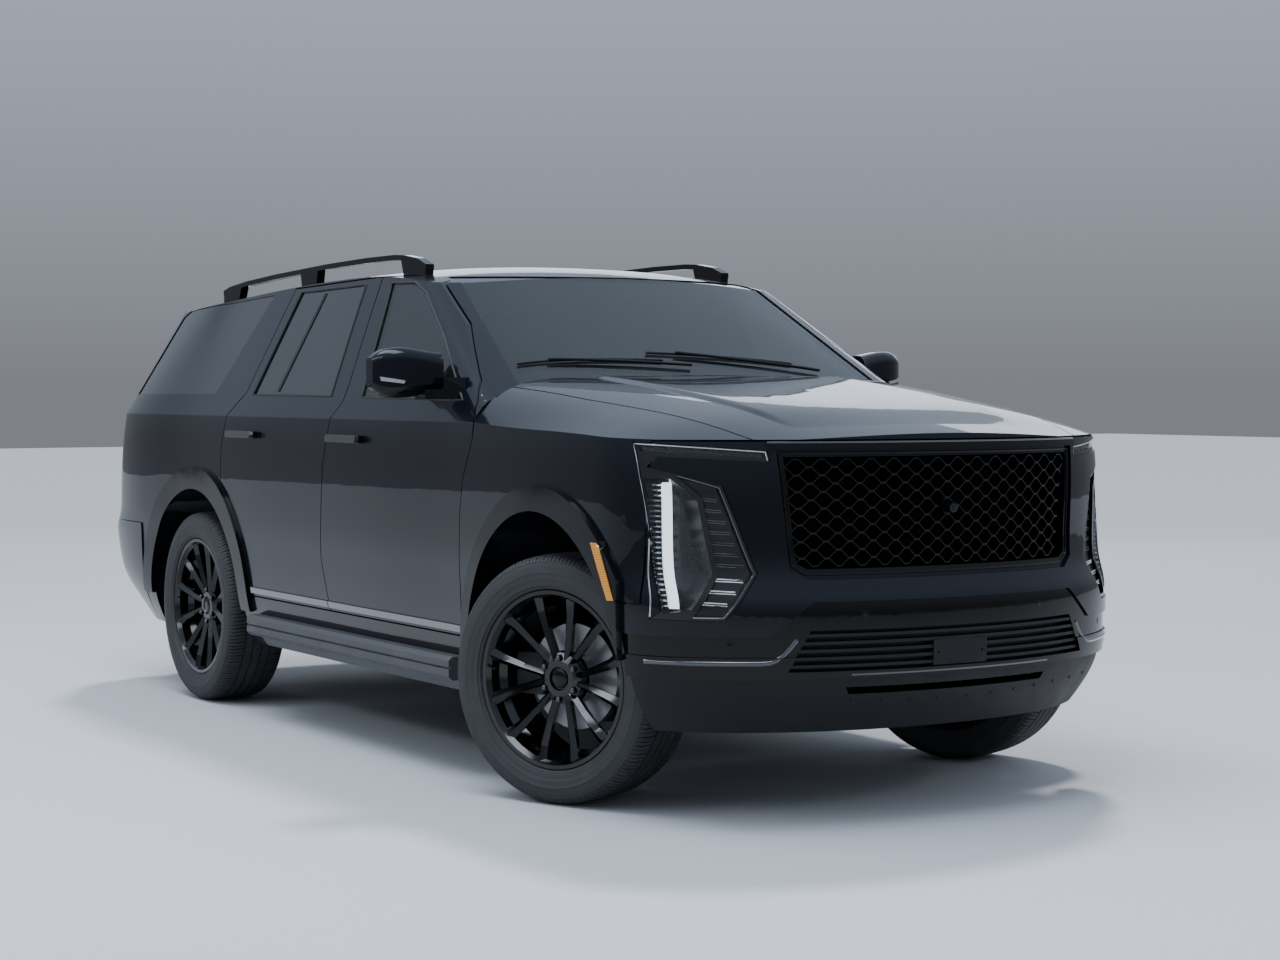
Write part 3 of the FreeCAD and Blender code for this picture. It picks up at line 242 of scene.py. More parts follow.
def sky(low, between, high):
    tree = world.node_tree
    back = tree.nodes["Background"]
    coord = tree.nodes.new("ShaderNodeTexCoord")
    split = tree.nodes.new("ShaderNodeSeparateXYZ")
    ramp = tree.nodes.new("ShaderNodeValToRGB")
    tree.links.new(coord.outputs["Generated"], split.inputs[0])
    tree.links.new(split.outputs["Z"], ramp.inputs[0])
    tree.links.new(ramp.outputs[0], back.inputs[0])
    ramp.color_ramp.elements[0].position, ramp.color_ramp.elements[0].color = 0.0, (*low, 1)
    ramp.color_ramp.elements[1].position, ramp.color_ramp.elements[1].color = 0.5, (*high, 1)
    middle = ramp.color_ramp.elements.new(0.16)
    middle.color = (*between, 1)
    back.inputs[1].default_value = 1.0


sky((0.21, 0.22, 0.245), (0.40, 0.45, 0.54), (0.66, 0.80, 1.0))
stage_finish = Finish("stage_floor", (0.46, 0.46, 0.47), 0.9)
stage_finish.set("Roughness", stage_finish.noise(0.8).ramp(0.3, 0.7, 0.85, 0.95))
floor.data.materials.append(stage_finish.material)
print("floor finish", len(stage_finish.tree.nodes), "nodes")

# %% [markdown]
# Small parts are easiest to place by what carries them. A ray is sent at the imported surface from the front,
# the side, the rear or above, and the part takes the point that it meets and the way the surface faces there.

# %% Finding a place on the skin
def skin(*names):
    points, faces = [], []
    for name in names:
        mesh = nodes[name].data
        start = len(points)
        points += [v.co.copy() for v in mesh.vertices]
        faces += [[start + i for i in poly.vertices] for poly in mesh.polygons]
    return BVHTree.FromPolygons(points, faces)


NOSE = skin("front_bumper", "front_fenders", "grille", "lower_grille", "headlights", "hood")
FLANK = {1: skin("body_shell", "front_fenders", "flares", "front_bumper", "rear_bumper", "running_boards",
                 "door_front_left", "door_rear_left", "quarter_glass", "glass_front_left", "glass_rear_left"),
         -1: skin("body_shell", "front_fenders", "flares", "front_bumper", "rear_bumper", "running_boards",
                  "door_front_right", "door_rear_right", "quarter_glass", "glass_front_right",
                  "glass_rear_right")}
TAIL = skin("liftgate", "rear_bumper", "rear_glass", "tail_lamps", "body_shell")
DECK = skin("hood", "windshield", "body_shell", "front_fenders", "front_bumper")


# A ray that slips through a seam is sent again a few millimetres to each side
REACHES = (0.0, 0.004, 0.008, 0.014, 0.025)
STEPS = ((1, 0, 0), (-1, 0, 0), (0, 1, 0), (0, -1, 0), (0, 0, 1), (0, 0, -1))


def meet(tree, start, way):
    start, way = Vector(start), Vector(way)
    for reach in REACHES:
        for step in STEPS:
            shift = Vector(step) * reach
            place, facing, index, distance = tree.ray_cast(start + shift, way)
            if place is not None:
                return place - shift, (facing if facing.dot(way) < 0 else -facing)
    raise RuntimeError("nothing there: %s" % (start,))


def on_nose(y, z):
    return meet(NOSE, (4, y, z), (-1, 0, 0))


def on_flank(side):
    return lambda x, z: meet(FLANK[side], (x, 3 * side, z), (0, -side, 0))


def on_tail(y, z):
    return meet(TAIL, (-4, y, z), (1, 0, 0))


def on_deck(x, y):
    return meet(DECK, (x, y, 4), (0, 0, -1))


def lifted(surface, points, lift):
    return [place + facing * lift for place, facing in (surface(*point) for point in points)]


print("skins ready")

# %% [markdown]
# Four makers do most of the small work: a `patch` lies on a surface like a sticker with a thickness, a
# `tube` follows a line, a `turned` part is a profile spun round an axis, and `repeat` puts one item on many
# places. The last is a Geometry Nodes tree: points come in, each carries its own turn, and a mesh comes out.

# %% Makers
def collect(name, mesh, finishes, body=None, smooth=None):
    piece = bpy.data.objects.new(name, mesh)
    mesh.materials.clear()
    for finish in finishes:
        mesh.materials.append(finish.material)
    bpy.context.scene.collection.objects.link(piece)
    if smooth is not None:
        mesh.shade_smooth()
        mesh.set_sharp_from_angle(angle=math.radians(smooth))
    if body:
        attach(piece, body)
    return piece


def shape(name, points, faces):
    mesh = bpy.data.meshes.new(name)
    mesh.from_pydata([tuple(p) for p in points], [], faces)
    work = bmesh.new()
    work.from_mesh(mesh)
    bmesh.ops.remove_doubles(work, verts=work.verts, dist=0.000005)
    bmesh.ops.recalc_face_normals(work, faces=work.faces)
    work.to_mesh(mesh)
    work.free()
    return mesh


def joined(name, meshes):
    work = bmesh.new()
    for mesh in meshes:
        work.from_mesh(mesh)
    whole = bpy.data.meshes.new(name)
    work.to_mesh(whole)
    work.free()
    return whole


def grid_rim(across, up):
    row = across + 1
    rim = list(range(row)) + [j * row + across for j in range(1, up + 1)]
    return rim + [up * row + i for i in range(across - 1, -1, -1)] + [j * row for j in range(up - 1, 0, -1)]


def patch(surface, corners, lift=0.002, under=0.003, across=8, up=2):
    a, b, c, d = [Vector(p) for p in corners]
    grid = []
    for j in range(up + 1):
        for i in range(across + 1):
            u, v = i / across, j / up
            spot = a.lerp(b, u).lerp(d.lerp(c, u), v)
            grid.append(surface(spot.x, spot.y))
    points = [place + facing * lift for place, facing in grid]
    points += [place - facing * under for place, facing in grid]
    row, count = across + 1, len(grid)
    faces = []
    for j in range(up):
        for i in range(across):
            k = j * row + i
            faces.append((k, k + 1, k + row + 1, k + row))
            faces.append((count + k, count + k + row, count + k + row + 1, count + k + 1))
    rim = grid_rim(across, up)
    for k, n in zip(rim, rim[1:] + rim[:1]):
        faces.append((k, count + k, count + n, n))
    return shape("patch", points, faces)


def baked(holder):
    graph = bpy.context.evaluated_depsgraph_get()
    mesh = bpy.data.meshes.new_from_object(holder.evaluated_get(graph))
    bpy.data.objects.remove(holder)
    return mesh


def tube(runs, radius, loop=False, sides=3):
    data = bpy.data.curves.new("run", "CURVE")
    data.dimensions = "3D"
    data.bevel_depth = radius
    data.bevel_resolution = sides
    data.use_fill_caps = True
    for run in runs:
        spline = data.splines.new("POLY")
        spline.points.add(len(run) - 1)
        for point, place in zip(spline.points, run):
            point.co = (*place, 1)
        spline.use_cyclic_u = loop
    holder = bpy.data.objects.new("run", data)
    bpy.context.scene.collection.objects.link(holder)
    return baked(holder)


def spun(profile, steps=24):
    points, faces = [], []
    for i in range(steps):
        a = 2 * math.pi * i / steps
        points += [(r * math.cos(a), r * math.sin(a), h) for r, h in profile]
    n = len(profile)
    for i in range(steps):
        for k in range(n - 1):
            m = (i + 1) % steps
            faces.append((i * n + k, m * n + k, m * n + k + 1, i * n + k + 1))
    return shape("spun", points, faces)


def standing(mesh, place, facing, spin=0.0):
    turn = Vector(facing).to_track_quat("Z", "Y").to_matrix().to_4x4()
    copy = mesh.copy()
    copy.transform(Matrix.Translation(place) @ turn @ Matrix.Rotation(spin, 4, "Z"))
    return copy


def repeat_tree():
    tree = bpy.data.node_groups.new("repeat_on_points", "GeometryNodeTree")
    wanted = (("Points", "NodeSocketGeometry"), ("Item", "NodeSocketObject"), ("Size", "NodeSocketFloat"),
              ("Finish", "NodeSocketMaterial"))
    for name, kind in wanted:
        tree.interface.new_socket(name, in_out="INPUT", socket_type=kind)
    tree.interface.new_socket("Mesh", in_out="OUTPUT", socket_type="NodeSocketGeometry")
    start, end = tree.nodes.new("NodeGroupInput"), tree.nodes.new("NodeGroupOutput")
    item = tree.nodes.new("GeometryNodeObjectInfo")
    turn = tree.nodes.new("GeometryNodeInputNamedAttribute")
    turn.data_type = "FLOAT_VECTOR"
    turn.inputs["Name"].default_value = "turn"
    placed = tree.nodes.new("GeometryNodeInstanceOnPoints")
    real = tree.nodes.new("GeometryNodeRealizeInstances")
    dressed = tree.nodes.new("GeometryNodeSetMaterial")
    join = tree.links.new
    join(start.outputs["Points"], placed.inputs["Points"])
    join(start.outputs["Item"], item.inputs["Object"])
    join(item.outputs["Geometry"], placed.inputs["Instance"])
    join(turn.outputs["Attribute"], placed.inputs["Rotation"])
    join(start.outputs["Size"], placed.inputs["Scale"])
    join(placed.outputs["Instances"], real.inputs["Geometry"])
    join(real.outputs["Geometry"], dressed.inputs["Geometry"])
    join(start.outputs["Finish"], dressed.inputs["Material"])
    join(dressed.outputs["Geometry"], end.inputs["Mesh"])
    return tree


REPEAT = repeat_tree()


def repeat(item_mesh, places, finish, size=1.0):
    cloud = bpy.data.meshes.new("places")
    cloud.from_pydata([tuple(place) for place, turn in places], [], [])
    turns = cloud.attributes.new("turn", "FLOAT_VECTOR", "POINT")
    for k, (place, turn) in enumerate(places):
        turns.data[k].vector = tuple(turn)
    holder = bpy.data.objects.new("places", cloud)
    item = bpy.data.objects.new("item", item_mesh)
    for thing in (holder, item):
        bpy.context.scene.collection.objects.link(thing)
    modifier = holder.modifiers.new("repeat", "NODES")
    modifier.node_group = REPEAT
    for socket in REPEAT.interface.items_tree:
        value = {"Item": item, "Size": size, "Finish": finish.material}.get(socket.name)
        if value is not None and socket.in_out == "INPUT":
            modifier[socket.identifier] = value
    mesh = baked(holder)
    bpy.data.objects.remove(item)
    if "turn" in mesh.attributes:
        mesh.attributes.remove(mesh.attributes["turn"])
    return mesh


def rod(length, width, height):
    w, h = width / 2, height
    section = [(-w, -0.002), (-w, h * 0.6), (-w * 0.6, h), (w * 0.6, h), (w, h * 0.6), (w, -0.002)]
    points = [(x, y, z) for x in (0.0, length) for y, z in section]
    n = len(section)
    faces = [(i, (i + 1) % n, n + (i + 1) % n, n + i) for i in range(n)]
    faces += [tuple(range(n)), tuple(range(2 * n - 1, n - 1, -1))]
    return shape("rod", points, faces)


print("makers ready")

# %% [markdown]
# Car paint is three things: a deep colour, a haze of metal flake in it, and a hard clear coat on top. The
# colour is a blue black, the flake only shifts its lightness a little at the scale of a millimetre, and the
# coat carries the sharp reflection. A very weak, wide bump stands for the orange peel of sprayed lacquer.

# %% Paint and gloss finishes
paint = Finish("body_paint", (0.003, 0.004, 0.007), 0.34, coat_weight=0.8, coat_roughness=0.015,
               specular_ior_level=0.05, coat_ior=1.38)
flake = paint.node("TexVoronoi", None, {"Vector": paint.place(), "Scale": 900.0})
paint.set("Base Color", paint.mix(flake.ramp(0.05, 0.6), (0.005, 0.007, 0.014), (0.0015, 0.002, 0.004)))
paint.bump(paint.noise(60.0, 1.0), 0.02, 0.0006)

gloss = Finish("gloss_trim", (0.0015, 0.0015, 0.0017), 0.09, specular_ior_level=0.26)
gloss.set("Roughness", gloss.noise(9.0).ramp(0.35, 0.8, 0.06, 0.13))

rim_black = Finish("rim_paint", (0.0015, 0.0015, 0.0017), 0.12, specular_ior_level=0.5)
rim_black.set("Roughness", rim_black.noise(30.0).ramp(0.3, 0.8, 0.1, 0.2))
print("paint", len(paint.tree.nodes), "nodes")

# %% [markdown]
# Moulded plastic is never smooth: its tool leaves a fine leathery grain that breaks the highlight. A small
# Voronoi cell, a fraction of a millimetre high, does that; a slow noise in the roughness is handling wear.

# %% Plastics, metals and rubber
def grained(name, colour, roughness, scale=1400.0, depth=0.0003):
    finish = Finish(name, colour, roughness)
    cells = finish.node("TexVoronoi", None, {"Vector": finish.place(), "Scale": scale})
    finish.bump(cells, 0.35, depth)
    wear = finish.noise(6.0, 4.0)
    finish.set("Roughness", wear.ramp(0.3, 0.8) * 0.16 + (roughness - 0.07))
    lighter = tuple(c * 1.5 + 0.003 for c in colour)
    finish.set("Base Color", finish.mix(wear.ramp(0.45, 0.8, 0.0, 0.55), colour, lighter))
    return finish


def machined(name, colour, roughness, scale=220.0):
    finish = Finish(name, colour, roughness, metallic=1.0)
    rough = finish.noise(scale, 4.0)
    finish.set("Roughness", (roughness - 0.06) + 0.18 * rough.ramp(0.25, 0.8))
    stain = finish.noise(11.0, 5.0)
    finish.set("Base Color", finish.mix(stain.ramp(0.5, 0.85), colour, tuple(c * 0.62 for c in colour)))
    finish.bump(rough, 0.12, 0.0004)
    return finish


satin = grained("satin_plastic", (0.0045, 0.0045, 0.005), 0.5)
satin.set("Specular IOR Level", 0.3)
board_grey = grained("grey_plastic", (0.045, 0.046, 0.048), 0.52, 700.0, 0.0006)
cabin = grained("cabin_plastic", (0.014, 0.014, 0.015), 0.55)
leather = grained("seat_leather", (0.020, 0.018, 0.017), 0.46, 420.0, 0.0008)
chassis = grained("chassis_metal", (0.014, 0.014, 0.015), 0.5, 260.0, 0.001)
steel = machined("exhaust_steel", (0.55, 0.54, 0.52), 0.3)
engine_cast = machined("engine_metal", (0.22, 0.22, 0.23), 0.5, 90.0)
disc_steel = machined("disc_steel", (0.27, 0.27, 0.28), 0.34, 340.0)
chrome = machined("fin_chrome", (0.66, 0.67, 0.70), 0.14, 60.0)

rubber = Finish("tyre_rubber", (0.022, 0.0225, 0.024), 0.72)
dust = rubber.noise(14.0, 5.0, 0.65)
rubber.set("Base Color", rubber.mix(dust.ramp(0.4, 0.75), (0.020, 0.0205, 0.022), (0.036, 0.036, 0.037)))
rubber.set("Roughness", dust.ramp(0.3, 0.8, 0.62, 0.84))
rubber.bump(rubber.noise(500.0, 2.0), 0.25, 0.0005)
print("finishes so far", len(bpy.data.materials))

# %% [markdown]
# Glass on a car is a dark film between two reflections. The front panes let the cabin through faintly and
# the privacy panes behind them almost not at all; both stay mirror-smooth, with a trace of dust in the gloss.

# %% Glass and lamp finishes
def pane(name, colour, alpha, wipe=0.02):
    finish = Finish(name, colour, 0.03, ior=1.5, coat_weight=0.4, coat_roughness=0.0)
    haze = finish.noise(3.0, 4.0)
    finish.set("Roughness", haze.ramp(0.35, 0.8, 0.01, 0.01 + wipe))
    finish.set("Alpha", haze.ramp(0.2, 0.9) * 0.04 - (0.02 - alpha))
    return finish


tinted = pane("tinted_glass", (0.008, 0.010, 0.010), 0.62)
privacy = pane("dark_glass", (0.006, 0.007, 0.008), 0.86)
lens = pane("lamp_lens", (0.10, 0.11, 0.12), 0.10)
lens.set("Coat Weight", 0.0)
red_lens = pane("tail_lens", (0.055, 0.0015, 0.002), 0.94)
optics = red_lens.node("TexWave", {"bands_direction": "Z"}, {"Vector": red_lens.place(), "Scale": 26.0})
red_lens.set("Base Color", red_lens.mix(optics.ramp(0.2, 0.9), (0.035, 0.001, 0.0015), (0.10, 0.003, 0.004)))
amber = Finish("amber_marker", (0.62, 0.24, 0.004), 0.16, coat_weight=0.6)
ribbing = amber.node("TexWave", {"bands_direction": "Z"}, {"Vector": amber.place(), "Scale": 42.0})
amber.bump(ribbing, 0.3, 0.001)
amber.set("Base Color", amber.mix(ribbing, (0.72, 0.29, 0.004), (0.46, 0.15, 0.002)))


def glowing(name, colour, strength, base=None):
    finish = Finish(name, base or colour, 0.3)
    finish.set("Emission Strength", strength)
    bright = 1 - finish.noise(24.0, 1.0).ramp(0.2, 0.9)
    finish.set("Emission Color", finish.mix(bright, tuple(c * 0.86 for c in colour), colour))
    return finish


blade_light = glowing("blade_light", (0.84, 0.91, 1.0), 1.5)
slit_light = glowing("slit_light", (0.80, 0.88, 1.0), 0.55, (0.2, 0.2, 0.2))
dim_slit = glowing("dim_slit", (0.70, 0.78, 0.9), 0.05, (0.05, 0.055, 0.06))

lamp_black = grained("lamp_housing", (0.004, 0.004, 0.0045), 0.28, 900.0, 0.0002)
dark_steel = machined("dark_nuts", (0.10, 0.10, 0.105), 0.28, 300.0)
bright_black = Finish("bright_black", (0.012, 0.013, 0.016), 0.06, coat_weight=1.0, coat_ior=1.7)
bright_black.set("Roughness", bright_black.noise(12.0).ramp(0.3, 0.8, 0.04, 0.1))
seal_rubber = grained("seal_rubber", (0.006, 0.006, 0.006), 0.6, 500.0)
silver_lens = Finish("silver_lens", (0.62, 0.64, 0.66), 0.12, metallic=0.7, coat_weight=1.0)
silver_ribs = silver_lens.node("TexWave", {"bands_direction": "Y"}, {"Vector": silver_lens.place(), "Scale": 60.0})
silver_lens.bump(silver_ribs, 0.3, 0.0008)
silver_lens.set("Base Color", silver_lens.mix(silver_ribs, (0.66, 0.68, 0.70), (0.40, 0.41, 0.43)))
tail_glow = glowing("tail_glow", (1.0, 0.05, 0.03), 0.35, (0.25, 0.01, 0.01))
# A near-black, almost unreflecting finish that stands for painted shade in the recesses behind the grille and in
# the lower slot.
painted_shade_black = grained("painted_shade_black", (0.0008, 0.0008, 0.0008), 0.9, 300.0)
painted_shade_black.set("Specular IOR Level", 0.05)
print("finishes", len(bpy.data.materials))

# %% [markdown]
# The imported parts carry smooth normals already, so most of them only need a finish in their slot. Where one
# part shows two finishes, a copy of it stands in its place and each face is given the finish of its zone.

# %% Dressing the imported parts
def zoned(node, finishes, choose):
    mesh = nodes[node].data.copy()
    piece = collect(node + "_dressed", mesh, finishes, nodes[node]["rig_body"])
    tally = [0] * len(finishes)
    for face in mesh.polygons:
        face.material_index = choose(face.center, face.normal)
        tally[face.material_index] += 1
    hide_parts(node)
    print(node, "faces by finish", tally)
    return piece


SLOT_OF = {part["node"]: part["material_slot"] for part in frame["record"]["subparts"]}
FINISH_OF = {"body_paint": paint, "gloss_trim": gloss, "satin_plastic": satin, "lamp_lens": lens,
             "lamp_black": lamp_black, "tail_lens": red_lens, "tinted_glass": tinted, "dark_glass": privacy,
             "grey_plastic": board_grey, "chassis_metal": chassis, "engine_metal": engine_cast,
             "exhaust_steel": steel, "seat_leather": leather, "cabin_plastic": cabin,
             "rim_paint": rim_black, "tyre_rubber": rubber}
for node, part in nodes.items():
    finish = FINISH_OF[SLOT_OF[node]]
    if part.data.materials:
        part.material_slots[0].material = finish.material
    else:
        part.data.materials.append(finish.material)
print(len(nodes), "parts dressed")

# %% [markdown]
# A wheel is easiest to draw lying on its own axle, with +Y pointing outboard, and then moved to its corner of
# the car. The front pair stands steered to the left, so its axles turn about the kingpins first.

# %% Where the four wheels stand
def wheel_frame(end, side):
    if end == "rear":
        place, steer = Vector((X_REAR, TRACK_HALF * side, TYRE_R)), 0.0
    else:
        reach = TRACK_HALF - KINGPIN_Y
        place = Vector((X_FRONT - reach * side * math.sin(STEER),
                        KINGPIN_Y * side + reach * side * math.cos(STEER), TYRE_R))
        steer = STEER
    half_turn = 0.0 if side > 0 else math.pi
    return Matrix.Translation(place) @ Matrix.Rotation(steer + half_turn, 4, "Z")


CORNERS = [(end, side, label) for end in ("front", "rear") for side, label in SIDES]
print("wheels", [(end, label) for end, side, label in CORNERS])

# %% [markdown]
# A road tyre is a smooth carcass with blocks of tread on it. The carcass is one profile spun round the axle,
# with the raised ring that guards the rim. One pitch of tread holds five blocks, cut apart by grooves and
# thinned by slanted sipes; the repeat tree then sets eighty of those pitches round the wheel.

# %% Tyre
PITCHES = 80
CARCASS = [(0.2806, 0.0945), (0.2992, 0.0985), (0.3012, 0.1165), (0.3040, 0.1228), (0.3085, 0.1252),
           (0.3105, 0.1248), (0.3125, 0.1286), (0.3250, 0.1322), (0.3275, 0.1322), (0.3290, 0.1334),
           (0.3420, 0.1356), (0.3560, 0.1364), (0.3570, 0.1371), (0.3590, 0.1371), (0.3600, 0.1362),
           (0.3740, 0.1350), (0.3860, 0.1322), (0.3940, 0.1280), (0.3995, 0.1225), (0.4035, 0.1130),
           (0.4060, 0.1000), (0.4075, 0.0820), (0.4084, 0.0500)]


def ring_shape(profile, steps):
    points, faces = [], []
    n = len(profile)
    for i in range(steps):
        a = 2 * math.pi * i / steps
        points += [(r * math.cos(a), y, r * math.sin(a)) for r, y in profile]
    for i in range(steps):
        m = (i + 1) % steps
        for k in range(n):
            faces.append((i * n + k, i * n + (k + 1) % n, m * n + (k + 1) % n, m * n + k))
    return shape("ring", points, faces)


def crown(y):
    steps = [(0.0, 0.4168), (0.055, 0.4164), (0.09, 0.4145), (0.106, 0.4118), (0.118, 0.4070), (0.1265, 0.3995),
             (0.1315, 0.3915)]
    for (ya, ra), (yb, rb) in zip(steps, steps[1:]):
        if abs(y) <= yb:
            return ra + (rb - ra) * (abs(y) - ya) / (yb - ya)
    return steps[-1][1]


def tread_block(y0, y1, start, end, slant, sections):
    points, faces = [], []
    pitch = 2 * math.pi / PITCHES
    for k in range(sections + 1):
        y = y0 + (y1 - y0) * k / sections
        drift = slant * (y - y0) / (y1 - y0)
        top = crown(y)
        for share, r in ((start, top), (end, top), (end, top - 0.0085), (start, top - 0.0085)):
            a = pitch * (share + drift)
            points.append((r * math.cos(a), y, r * math.sin(a)))
    for k in range(sections):
        for i in range(4):
            j = (i + 1) % 4
            faces.append((4 * k + i, 4 * k + j, 4 * k + 4 + j, 4 * k + 4 + i))
    faces += [(3, 2, 1, 0), tuple(4 * sections + i for i in range(4))]
    return shape("block", points, faces)


blocks = []
for y0, y1, slant, shift in ((-0.0165, 0.0165, 0.35, 0.0), (0.0235, 0.0540, 0.45, 0.3),
                             (-0.0540, -0.0235, 0.45, 0.6)):
    blocks.append(tread_block(y0, y1, shift, shift + 0.42, slant, 2))
    blocks.append(tread_block(y0, y1, shift + 0.47, shift + 0.93, slant, 2))
for sign in (1, -1):
    inner, outer = 0.0625 * sign, 0.1308 * sign
    blocks.append(tread_block(inner, outer, 0.02, 0.44, 0.25, 7))
    blocks.append(tread_block(inner, outer, 0.51, 0.90, 0.25, 7))
pitch_mesh = joined("pitch", blocks)
around = [((0, 0, 0), (0, -2 * math.pi * i / PITCHES, 0)) for i in range(PITCHES)]
tread_mesh = repeat(pitch_mesh, around, rubber)
carcass = ring_shape(CARCASS + [(r, -y) for r, y in reversed(CARCASS)], 120)
tyre_mesh = joined("tyre", [carcass, tread_mesh])
for end, side, label in CORNERS:
    mesh = tyre_mesh.copy()
    mesh.transform(wheel_frame(end, side))
    tyre = collect("tyre_%s_%s_treaded" % (end, label), mesh, [rubber],
                   "wheel_%s_%s" % (end, label), 32)
    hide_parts("tyre_%s_%s" % (end, label))
print("tyre faces", len(tyre_mesh.polygons))

# %% [markdown]
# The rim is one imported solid, but it shows three finishes: gloss black spokes and barrel, the bare steel of
# the brake disc behind them, and darker lug nuts. Each face tells its finish by where it is on the axle.

# %% Rims, discs and hub caps
DISC_EDGE = 0.1785
DISC_FACE = 0.0185
LUG_CIRCLE = 0.06985


def rim_zone(to_wheel):
    def choose(place, facing):
        local = to_wheel @ place
        radius = math.hypot(local.x, local.z)
        return 1 if radius < DISC_EDGE + 0.0005 and local.y < DISC_FACE else 0
    return choose


CAP = [(0.0, 0.0795), (0.020, 0.0790), (0.027, 0.0775), (0.0315, 0.0750), (0.0335, 0.0715), (0.0335, 0.060)]
NUT = [(0.0, 0.0885), (0.0055, 0.0880), (0.0085, 0.0862), (0.0098, 0.0825), (0.0102, 0.0700), (0.0120, 0.0665)]


def lathe_on_axle(profile, steps=28):
    mesh = spun(profile, steps)
    mesh.transform(Matrix.Rotation(-math.pi / 2, 4, "X"))
    return mesh


cap_mesh = lathe_on_axle(CAP)
nut_mesh = lathe_on_axle(NUT, 12)
lug_places = []
for i in range(6):
    a = math.radians(60 * (i + 0.5))
    lug_places.append(((LUG_CIRCLE * math.cos(a), 0.0, LUG_CIRCLE * math.sin(a)), (0, 0, 0)))
nuts_mesh = repeat(nut_mesh, lug_places, dark_steel)
valve_mesh = standing(spun([(0.0, 0.032), (0.0035, 0.031), (0.0040, 0.024), (0.0032, 0.022), (0.0042, 0.0)], 10),
                      (0.262, 0.095, 0.02), (-0.55, 0.85, 0))
for end, side, label in CORNERS:
    where = wheel_frame(end, side)
    body = "wheel_%s_%s" % (end, label)
    zoned("rim_%s_%s" % (end, label), [rim_black, disc_steel], rim_zone(where.inverted()))
    for name, source, finish in (("cap", cap_mesh, gloss), ("nuts", nuts_mesh, dark_steel),
                                 ("valve", valve_mesh, satin)):
        mesh = source.copy()
        mesh.transform(where)
        collect("%s_%s_%s" % (name, end, label), mesh, [finish], body, 40)
print("lug nuts", len(lug_places) * len(CORNERS))

# %% [markdown]
# The bumper is one moulding in three finishes. Painted metal ends at a line that drops from the grille's
# foot to the wheel arch; under it the plastic is gloss black, and the air dam below that is matt.

# %% Bumper and lamp zones
def along(points, y):
    for (ya, za), (yb, zb) in zip(points, points[1:]):
        if ya <= y <= yb:
            return za + (zb - za) * (y - ya) / (yb - ya)
    return points[0][1] if y < points[0][0] else points[-1][1]


PAINT_FOOT = [(0.525, 0.718), (0.654, 0.614), (1.1, 0.614)]
HOOD_LIP = 1.182
DAM_TOP = 0.4785
SURROUND_HALF = 0.635


def bumper_zone(place, facing):
    y, z = abs(place.y), place.z
    if z < DAM_TOP:
        return 2
    if z < along(PAINT_FOOT, y) + 0.0015 or (z > HOOD_LIP and y < SURROUND_HALF):
        return 1
    return 0


zoned("front_bumper", [paint, gloss, satin], bumper_zone)
# The front of the frame behind the grille takes the near-black finish: painted shade, so the radiator reads dark
# through the mesh.
zoned("frame", [chassis, painted_shade_black], lambda place, facing: 1 if place.x > 2.18 and place.z > 0.49 else 0)

# %% [markdown]
# In each headlight a light blade stands beside a column of bright fins, with a louvred black bezel inboard.
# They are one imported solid, so again a face takes its finish from its zone, seen square on from the front.

# %% Headlights
BLADE_IN, BLADE_OUT, FINS_OUT = 0.8615, 0.8848, 0.927
LAMP_LOW, LAMP_HIGH = 0.694, 1.0905
LENSES = skin("headlight_lenses")


def lamp_zone(place, facing):
    y, z = abs(place.y), place.z
    if not LAMP_LOW < z < LAMP_HIGH or not BLADE_IN <= y <= FINS_OUT:
        return 0
    cover, outward = meet(LENSES, (4, place.y, z), (-1, 0, 0))
    depth = cover.x - place.x
    if not 0.010 < depth < 0.058:
        return 0
    return 1 if y < BLADE_OUT else 2


NOSE_TIP, NOSE_SWEEP = 2.691 - 0.050, 0.600


def on_nose_x(y):
    share = min(abs(y), 0.999)
    return NOSE_TIP - NOSE_SWEEP * (1 - (1 - share * share) ** 0.43)


zoned("headlights", [lamp_black, blade_light, chrome], lamp_zone)


def both_sides(surface, corners, **sizes):
    meshes = []
    for side in (1, -1):
        meshes.append(patch(surface, [(side * y, z) for y, z in corners], **sizes))
    return meshes


BEZEL_INNER = [(0.676, 0.776), (0.806, 0.681), (1.070, 0.766)]
BEZEL_OUTER = [(0.676, 0.846), (0.803, 0.772), (1.040, 0.806), (1.106, 0.864)]
slits, dim_slits = [], []
for z, thick in ([(1.035 - 0.034 * i, 0.0016) for i in range(7)] + [(0.785 - 0.036 * i, 0.0030) for i in range(3)]):
    y0 = along(BEZEL_INNER, z) + 0.008
    y1 = along(BEZEL_OUTER, z) - 0.006
    row = slits if z < 0.80 else dim_slits
    for level in (z, z - 0.007):
        rise = 0.004
        corners = [(y0, level), (y1, level + rise), (y1, level + rise + thick), (y0, level + thick)]
        row += both_sides(on_nose, corners, lift=0.0012, under=0.001, across=6, up=1)
collect("lamp_slits", joined("slits", slits), [slit_light], "body", 30)
collect("lamp_dim_slits", joined("slits", dim_slits), [dim_slit], "body", 30)
print("lamp slits", len(slits))

# %% [markdown]
# The grille's frame is a double line: a broad gloss ring, and a thin bright bead along its inner edge. The
# bead is one tube bent to the nose. Under the bare badge place sits the round housing of the front camera.

# %% Grille beads, camera and mouldings
def nose_run(points, lift=0.0, step=0.02):
    fine = []
    for (ya, za), (yb, zb) in zip(points, points[1:]):
        count = max(1, int(math.hypot(yb - ya, zb - za) / step))
        fine += [(ya + (yb - ya) * t, za + (zb - za) * t) for t in [i / count for i in range(count)]]
    return lifted(on_nose, fine + [points[-1]], lift)


def both_tubes(edge, radius):
    return [tube([nose_run([(side * y, z) for y, z in edge])], radius) for side in (1, -1)]


def eased(run, passes=2):
    for turn in range(passes):
        run = [run[0]] + [(a + b * 2 + c) / 4 for a, b, c in zip(run, run[1:], run[2:])] + [run[-1]]
    return run


